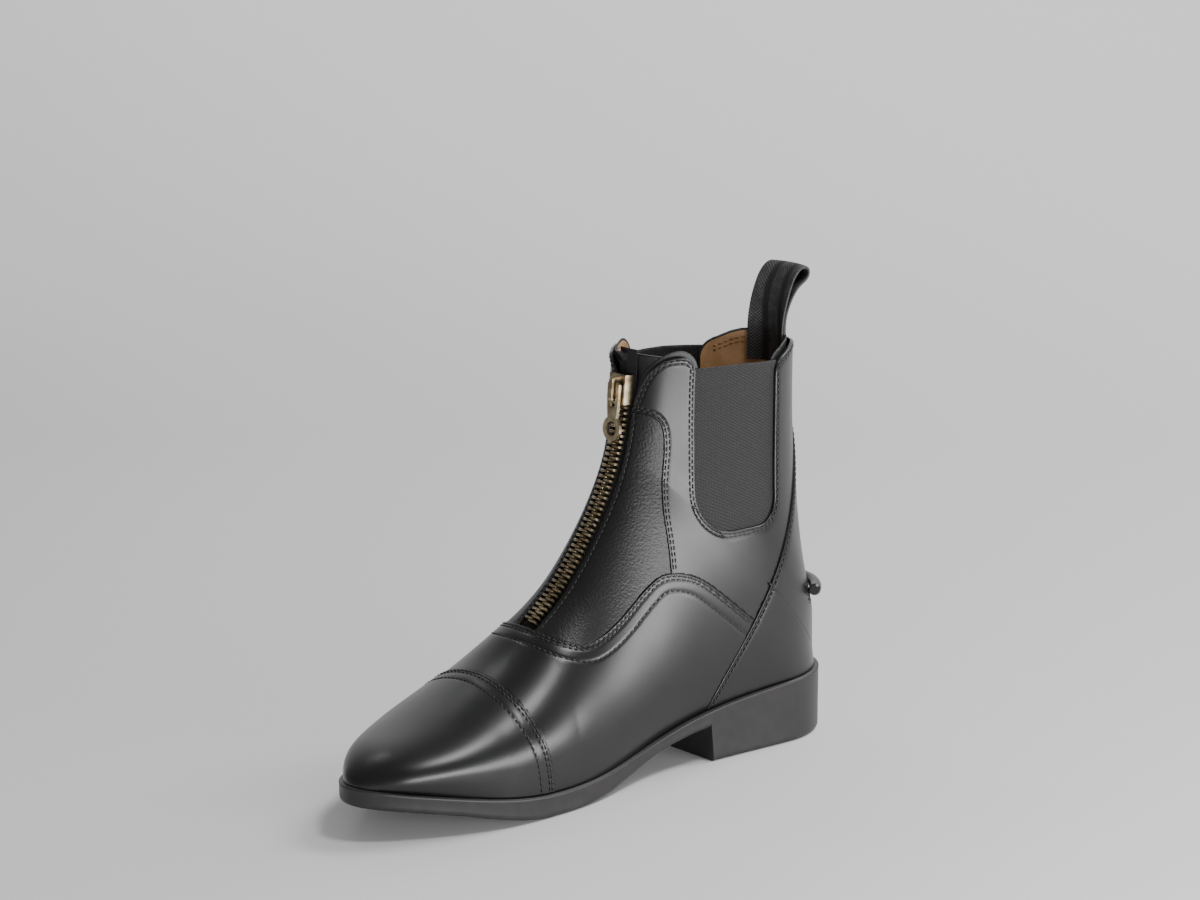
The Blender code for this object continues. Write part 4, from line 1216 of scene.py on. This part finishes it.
def pull_loop():
    """Sweeps the strap's section along its line, bowed with the collar at its foot."""
    path = smooth_line(LOOP_LINE, 200)
    reach = lengths_along(path) * LENGTH
    half, thick = LOOP_WIDTH / 2, LOOP_THICK / 2
    across = np.linspace(-half + thick / 2, half - thick / 2, 40)
    ring = [(x, thick) for x in across] + [(half, thick * 0.5), (half, -thick * 0.5)]
    ring += [(x, -thick) for x in across[::-1]] + [(-half, -thick * 0.5), (-half, thick * 0.5)]
    bend = np.clip((path[:, 1] - 0.69) / 0.09, 0, 1)
    follow = 1 - 0.6 * bend ** 2 * (3 - 2 * bend)
    places, marks = [], []
    for aside, off in ring:
        bow = LOOP_BEND - np.sqrt(LOOP_BEND ** 2 - min(abs(aside), half) ** 2)
        line = shift_line(path * LENGTH, off)
        wave = LOOP_WAVE * np.sin(reach / WAVE_LENGTH + 2.1 * aside / half) * (1 - follow)
        spots = world(line[:, 0] + follow * bow + wave, aside + 0 * reach, line[:, 1])
        places.append(spots)
        marks.append(np.c_[aside / MM + 0 * reach, reach / MM])
    count, size = len(reach), len(ring)
    faces = []
    for j in range(size):
        n = (j + 1) % size
        for k in range(count - 1):
            faces.append((j * count + k, j * count + k + 1, n * count + k + 1, n * count + k))
    for end in (0, count - 1):
        faces.append(tuple(j * count + end for j in range(size)))
    piece = mesh_piece("webbing_loop", np.concatenate(places), faces, strap, "webbing", ["pull_loop"])
    add_marks(piece, np.concatenate(marks))
    sharpen(piece, 50)
    print("loop stands", round(max(spots[:, 2]) * 1000, 1), "mm high")


pull_loop()

# %% [markdown]
# ## Sole
#
# One moulded unit of black rubber with a thin raised line along its top edge.
# Rings of the outline are stacked from the rim to the tread, which has bars cut
# across it under the ball and the heel. Rings follow the outline better than a
# bevel would, because the edge's shape can differ at the top and the bottom.

# %% Profile of the sole
# Bars of the tread: first and last place along, how many, half their length.
TREAD = ((0.56, 0.76, 6, 27 * MM), (0.07, 0.24, 4, 17 * MM))
TREAD_BAR, TREAD_DEPTH = 2.8 * MM, 1.3 * MM
# Rings of the sole's edge: inset, drop from the rim or rise from the bottom, in mm.
RINGS = (
    (3.4, 0.0, None), (1.5, 0.0, None), (1.15, -0.05, None), (0.95, -0.25, None), (0.7, -0.3, None),
    (0.45, -0.22, None), (0.2, -0.3, None), (0.03, -0.55, None), (0.0, -0.95, None), (0.12, -1.5, None),
    (0.1, None, 2.6), (0.12, None, 1.8), (0.35, None, 1.05), (0.75, None, 0.5), (1.3, None, 0.15),
    (2.0, None, 0.0),
)


def sole_bottom(along):
    """Height of the sole's underside, which is level under the heel."""
    shares = [row for row in SOLE if row[0] >= HEEL_ROUND]
    line = spline([row[0] for row in shares], [row[4:] for row in shares])
    return np.where(along <= HEEL_BREAST, 0, np.maximum(line(along)[..., 0], 0))


def sole_alongs():
    """Places along the sole, close together at its ends and at the tread's bars."""
    heel = HEEL_BREAST * (1 - np.cos(np.linspace(0, pi / 2, 40)))
    middle = np.linspace(HEEL_BREAST + BREAST_SLOPE, 1 - TOE_ROUND, 90)[:-1]
    toe = 1 - TOE_ROUND + TOE_ROUND * np.sin(np.linspace(0, pi / 2, 60))
    bars = [place + side * (TREAD_BAR / 2 + edge) / LENGTH
            for start, end, count, _ in TREAD for place in np.linspace(start, end, count)
            for side in (-1, 1) for edge in (-0.1 * MM, 0.1 * MM)]
    return np.unique(np.r_[heel, middle, toe, bars])


def in_bars(along, aside):
    """Where the tread is cut."""
    cut = np.zeros(np.broadcast(along, aside).shape, bool)
    for start, end, count, reach in TREAD:
        for place in np.linspace(start, end, count):
            cut |= (np.abs(along - place) * LENGTH < TREAD_BAR / 2) & (np.abs(aside) < reach)
    return cut


print("places along the sole:", len(sole_alongs()))

# %% [markdown]
# The rings close into a wall. A grid across them makes the top, and another the
# tread, whose points rise where a bar is cut.

# %% Outsole
def outsole():
    """Stacks the rings of the edge, then closes the top and the tread."""
    along = sole_alongs()
    centre, half, rim = sole_at(along)
    bottom = sole_bottom(along)
    loop = np.r_[np.c_[along, centre + half], np.c_[along, centre - half][-2:0:-1]]
    level = np.r_[rim, rim[-2:0:-1]] * LENGTH
    low = np.r_[bottom, bottom[-2:0:-1]] * LENGTH
    smooth = np.roll(loop, -2, axis=0) - np.roll(loop, 2, axis=0)
    inward = unit(np.c_[smooth[:, 1], -smooth[:, 0]])
    places = []
    for inset, drop, rise in RINGS:
        spot = loop * LENGTH + inward * inset * MM
        height = level + drop * MM if rise is None else low + rise * MM
        places += list(world(spot[:, 0], spot[:, 1], height))
    size, count = len(loop), len(along)
    faces = wrap(len(RINGS), size)
    for ring, tread in ((0, False), (len(RINGS) - 1, True)):
        edge = np.array(places[ring * size:(ring + 1) * size])
        right = edge[:count, None]
        left = np.array([edge[0], *edge[:count - 1:-1], edge[count - 1]])[:, None]
        shares = np.linspace(0, 1, 25)[None, :, None]
        grid = right * (1 - shares) + left * shares
        if tread:
            aside = SIDE_SHIFT - grid[..., 1] - (centre * LENGTH)[:, None]
            place = 0.5 - grid[..., 0] / LENGTH
            grid[..., 2] += TREAD_DEPTH * in_bars(place, aside)
        first, wide = len(places), grid.shape[1]
        places += list(grid.reshape(-1, 3))
        for i in range(count - 1):
            for j in range(wide - 1):
                k = first + i * wide + j
                faces.append((k, k + 1, k + wide + 1, k + wide) if tread
                             else (k, k + wide, k + wide + 1, k + 1))
    sharpen(mesh_piece("moulded_sole", places, faces, sole_black, "sole", ["outsole"]), 40)
    print("sole has", len(faces), "faces")


outsole()

# %% [markdown]
# ## Spur rest
#
# A short roll of leather across the heel, which holds a spur's strap up. It follows
# the counter at one height, so its line is looked up on the last, and a round
# section is swept along it.

# %% Spur rest
SPUR_ROLL = 5.5 * MM
SPUR_HEIGHT = 66 * MM
SPUR_REACH = 0.115           # share of the girth to each side of the back
ROLL_END = 1.0 * MM
EYE_TALL, EYE_WIDE, EYE_OFF = 5.2 * MM, 3.6 * MM, 0.06 * MM


def spur_rest():
    """A round roll at one height, with softened ends."""
    girths = np.linspace(-SPUR_REACH, SPUR_REACH, 61)
    rows = np.linspace(CLOSED, 1, 400)
    line = []
    for girth in girths % 1:
        row = np.interp(SPUR_HEIGHT, last_point(rows, girth)[:, 2], rows)
        line.append(surface(row, girth, COUNTER + GAP + SPUR_ROLL / 2))
    line = np.array(line)
    run = unit(np.gradient(line, axis=0))
    aside = unit(np.cross(run, (0, 0, 1)))
    above = np.cross(aside, run)
    reach = lengths_along(line)
    from_end = np.minimum(reach, reach[-1] - reach)
    round_off = np.sqrt(np.clip(1 - (1 - np.clip(from_end / ROLL_END, 0, 1)) ** 2, 0, 1))
    radius = SPUR_ROLL / 2 * (0.78 + 0.22 * round_off)
    turns = np.linspace(0, 2 * pi, 33)[:-1]
    places = [line[i] + radius[i] * (aside[i] * cos(t) + above[i] * sin(t))
              for i in range(len(line)) for t in turns]
    size = len(turns)
    faces = wrap(len(line), size)
    faces.append(tuple(range(size)))
    faces.append(tuple(range(len(places) - 1, len(places) - size - 1, -1)))
    sharpen(mesh_piece("spur_roll", places, faces, shiny, "leather", ["spur_rest"]), 50)
    print("spur rest", round(reach[-1] * 1000, 1), "mm round the heel")


spur_rest()

# %% [markdown]
# The roll passes through the counter at each end, in an oval opening that is sewn
# round. The opening is a thin dark plate that paints the shade inside it, because
# nothing of its depth shows.

# %% Eyes of the spur rest
def spur_eyes():
    """A dark oval of painted shade at each end of the roll, with a ring of stitches round it."""
    rows = np.linspace(CLOSED, 1, 400)
    turns = np.linspace(0, 2 * pi, 49)
    small = 0.003
    for girth in (SPUR_REACH - 0.006, 1 - SPUR_REACH + 0.006):
        row = float(np.interp(SPUR_HEIGHT - 1 * MM, last_point(rows, girth)[:, 2], rows))
        beside = last_point(row, girth + small) - last_point(row, girth - small)
        over = last_point(row + small, girth) - last_point(row - small, girth)
        wide, tall = (np.linalg.norm(run) / (2 * small) for run in (beside, over))
        inner, middle, outer = (np.c_[row + share * EYE_TALL * np.sin(turns) / tall,
                                      girth + share * EYE_WIDE * np.cos(turns) / wide]
                                for share in (0.4, 0.7, 1.0))
        stitch_lines.append((outer, COUNTER))
        points = np.concatenate([surface(ring[:-1, 0], ring[:-1, 1], COUNTER + EYE_OFF)
                                 for ring in (inner, middle)])
        size = len(turns) - 1
        faces = [*wrap(2, size), tuple(range(size))]
        # The matt dark plate is painted shade for the inside of the opening.
        mesh_piece("painted_shade_spur_eye", points, faces, cloth_tape, "leather")


spur_eyes()
print("stitch lines so far:", len(stitch_lines))

# %% [markdown]
# ## Stitches
#
# Waxed black thread, 2.1 mm a stitch, lies in the grooves that it pulled. Every
# stitch is a small capsule, and all of them make one mesh. Bump could draw them,
# but real stitches catch the light one by one, which makes a seam look sewn.

# %% Size and shape of a stitch
STITCH = 2.1 * MM
STITCH_PITCH = 2.75 * MM
THREAD = 0.34 * MM
HALF_RUN = 0.6 * MM          # the thread's direction is measured over this to each side
FEWEST = 4                   # points a line needs to carry stitches
# A stitch: place along it, thickness there and lift, as shares of its own sizes.
STITCH_SHAPE = ((-0.5, 0.25, -0.9), (-0.38, 0.85, -0.2), (0, 1.0, 0.1), (0.38, 0.85, -0.2),
                (0.5, 0.25, -0.9))


def unbroken(line, high):
    """Parts of a line without a jump: places, and the rows and girths they lie at."""
    row, girth = line[:, 0], line[:, 1]
    path = surface(row, girth, high + relief(row, girth))
    step = np.linalg.norm(np.diff(path, axis=0), axis=1)
    breaks = np.r_[0, np.flatnonzero(step > 3 * MM) + 1, len(path)]
    for start, end in zip(breaks[:-1], breaks[1:]):
        if end - start >= FEWEST:
            yield path[start:end], row[start:end], girth[start:end]


def along_line(places, reach, values):
    """Values at places along a line, one column after the other."""
    return np.stack([np.interp(places, reach, column) for column in values.T], 1)


print("a stitch is", STITCH / MM, "mm long, one every", STITCH_PITCH / MM, "mm")

# %% [markdown]
# Stitches are placed at equal steps along each line, and turned with the line and
# with the leather under them.

# %% Laying the thread
def lay_stitches(name, lines, finish, slot, side=1):
    """Side is 1 on the leather's face and -1 on the lining's."""
    centres, runs, ups = [], [], []
    for line, high in lines:
        if len(line) < FEWEST:
            continue
        for part, row, girth in unbroken(line, high):
            reach = lengths_along(part)
            places = np.arange(STITCH, reach[-1] - STITCH / 2, STITCH_PITCH)
            if not len(places):
                continue
            run = along_line(places + HALF_RUN, reach, part) - along_line(places - HALF_RUN, reach, part)
            spots = along_line(places, reach, np.c_[row, girth]).T
            centres.append(along_line(places, reach, part))
            runs.append(run / np.maximum(np.linalg.norm(run, axis=1), 1e-9)[:, None])
            ups.append(last_normal(*spots) * (-side, -side, side))
    centre, run, up = (np.concatenate(part) for part in (centres, runs, ups))
    aside = unit(np.cross(run, up))
    turns = np.linspace(0, 2 * pi, 7)[:-1]
    points = [centre + run * along * STITCH + aside * cos(turn) * thick * THREAD
              + up * (sin(turn) * thick + lift) * THREAD
              for along, thick, lift in STITCH_SHAPE for turn in turns]
    grid = np.stack(points, 1).reshape(-1, 3)
    one = wrap(len(STITCH_SHAPE), len(turns))
    faces = [tuple(first * len(points) + n for n in face) for first in range(len(centre)) for face in one]
    mesh_piece(name, grid, faces, finish, slot)
    print(name + ":", len(centre))


def collar_rows(drops):
    """Lines inside the collar's back, at these drops below its top."""
    lines = []
    rows = np.linspace(0.93, TOP_ROW, 200)
    for drop in drops:
        for start, end in ((0.0, 0.165), (1.0, 0.835)):
            girths = np.linspace(start, end, 80)
            row, girth = np.meshgrid(rows, girths, indexing="ij")
            left = below(top_line)(rows, girths, last_point(row, girth))
            nearest = np.abs(left - drop).argmin(0)
            lines.append((np.c_[rows[nearest], girths], lined(BACKING)[1]))
    return lines


lay_stitches("stitches", stitch_lines, thread, "leather")
lay_stitches("lining_stitches", collar_rows((1.6 * MM, 3.6 * MM)), thread_tan, "lining", -1)

# %% [markdown]
# ## Studio
#
# Black leather shows little but what it mirrors, so the lamps are placed for their
# reflections: a low card beside the boot for the bright bands on its side, a small
# lamp above for the toe, and a wide one at the right for the floor's shade.

# %% Lamps
FLOOR_TURN = radians(40.5)    # the floor lies straight before the camera
FLOOR_FRONT, FLOOR_BEND, BEND_RADIUS, WALL_TOP, HALF_WIDTH = -3.0, 1.2, 1.5, 5.0, 4
# Lights: name, place, what each faces, size in metres and power in watts.
LIGHTS = (
    ("right", (1.5, -0.2, 1.6), (0, 0, 0.05), (1.0, 1.0), 36),
    ("low card", (0.02, -0.64, 0.08), (0, 0, 0.11), (1.0, 0.16), 7.5),
    ("above", (0.17, -0.53, 1.4), (0, 0, 0.05), (0.35, 0.3), 9),
    ("toe dot", (0.0, 0.9, 1.25), (-0.1, 0, 0.05), (0.12, 0.12), 0.8),
    ("paper", (1.0, 1.15, 2.0), (2.2, 2.55, 1.2), (2.4, 1.2), 45),
)
AIR_LIGHT = 0.26
CAMERA = Vector((-0.912, -1.082, 0.474))
LOOK = Vector((0.0115, -0.0005, 0.143))


def facing(place, aim):
    """The turn that points a lamp or a lens from a place at its aim."""
    return (Vector(aim) - Vector(place)).to_track_quat("-Z", "Y").to_euler()


def area_light(name, place, aim, size, power):
    """A soft lamp that the camera doesn't see."""
    light = bpy.data.lights.new(name, "AREA")
    light.shape = "RECTANGLE"
    light.size, light.size_y = size
    light.energy = power
    thing = bpy.data.objects.new(name, light)
    bpy.context.scene.collection.objects.link(thing)
    thing.location = place
    thing.visible_camera = False
    thing.rotation_euler = facing(place, aim)


for light in LIGHTS:
    area_light(*light)
print("lamps:", [light[0] for light in LIGHTS])

# %% [markdown]
# A sweep of pale paper runs under the boot and up behind it, so that no horizon
# shows in the picture.

# %% Paper
def studio_floor():
    """A floor that curves up into a backdrop far behind the boot."""
    away = Vector((sin(FLOOR_TURN), cos(FLOOR_TURN), 0))
    aside = Vector((cos(FLOOR_TURN), -sin(FLOOR_TURN), 0))
    profile = [(FLOOR_FRONT, 0.0), (FLOOR_BEND, 0.0)]
    profile += [(FLOOR_BEND + BEND_RADIUS * sin(t), BEND_RADIUS * (1 - cos(t)))
                for t in np.linspace(0.1, pi / 2, 14)]
    profile += [(FLOOR_BEND + BEND_RADIUS, WALL_TOP)]
    points, faces = [], []
    for out, up in profile:
        for wide in (-HALF_WIDTH, HALF_WIDTH):
            points.append(away * out + aside * wide + Vector((0, 0, up)))
    for k in range(0, len(points) - 2, 2):
        faces.append((k, k + 1, k + 3, k + 2))
    mesh = bpy.data.meshes.new("floor")
    mesh.from_pydata([tuple(p) for p in points], [], faces)
    paper = Finish("pale paper", (0.66, 0.66, 0.668), 0.9, Specular_IOR_Level=0.1)
    mesh.materials.append(paper.material)
    mesh.shade_smooth()
    floor = bpy.data.objects.new("floor", mesh)
    bpy.context.scene.collection.objects.link(floor)


studio_floor()

# %% [markdown]
# Even light from all round fills the shadows, and a long lens at the height of the
# photographer's gives the photograph's view.

# %% Air and camera
studio = bpy.data.worlds.new("studio")
bpy.context.scene.world = studio
studio.use_nodes = True
air = studio.node_tree.nodes["Background"].inputs
air["Color"].default_value = (1.0, 1.0, 1.0, 1)
air["Strength"].default_value = AIR_LIGHT

lens = bpy.data.cameras.new("camera")
lens.sensor_width = 36
lens.lens = 101.1
lens.clip_end = 50
camera = bpy.data.objects.new("camera", lens)
bpy.context.scene.collection.objects.link(camera)
camera.location = CAMERA
camera.rotation_euler = facing(CAMERA, LOOK)
bpy.context.scene.camera = camera
print("camera", [round(v, 3) for v in CAMERA])
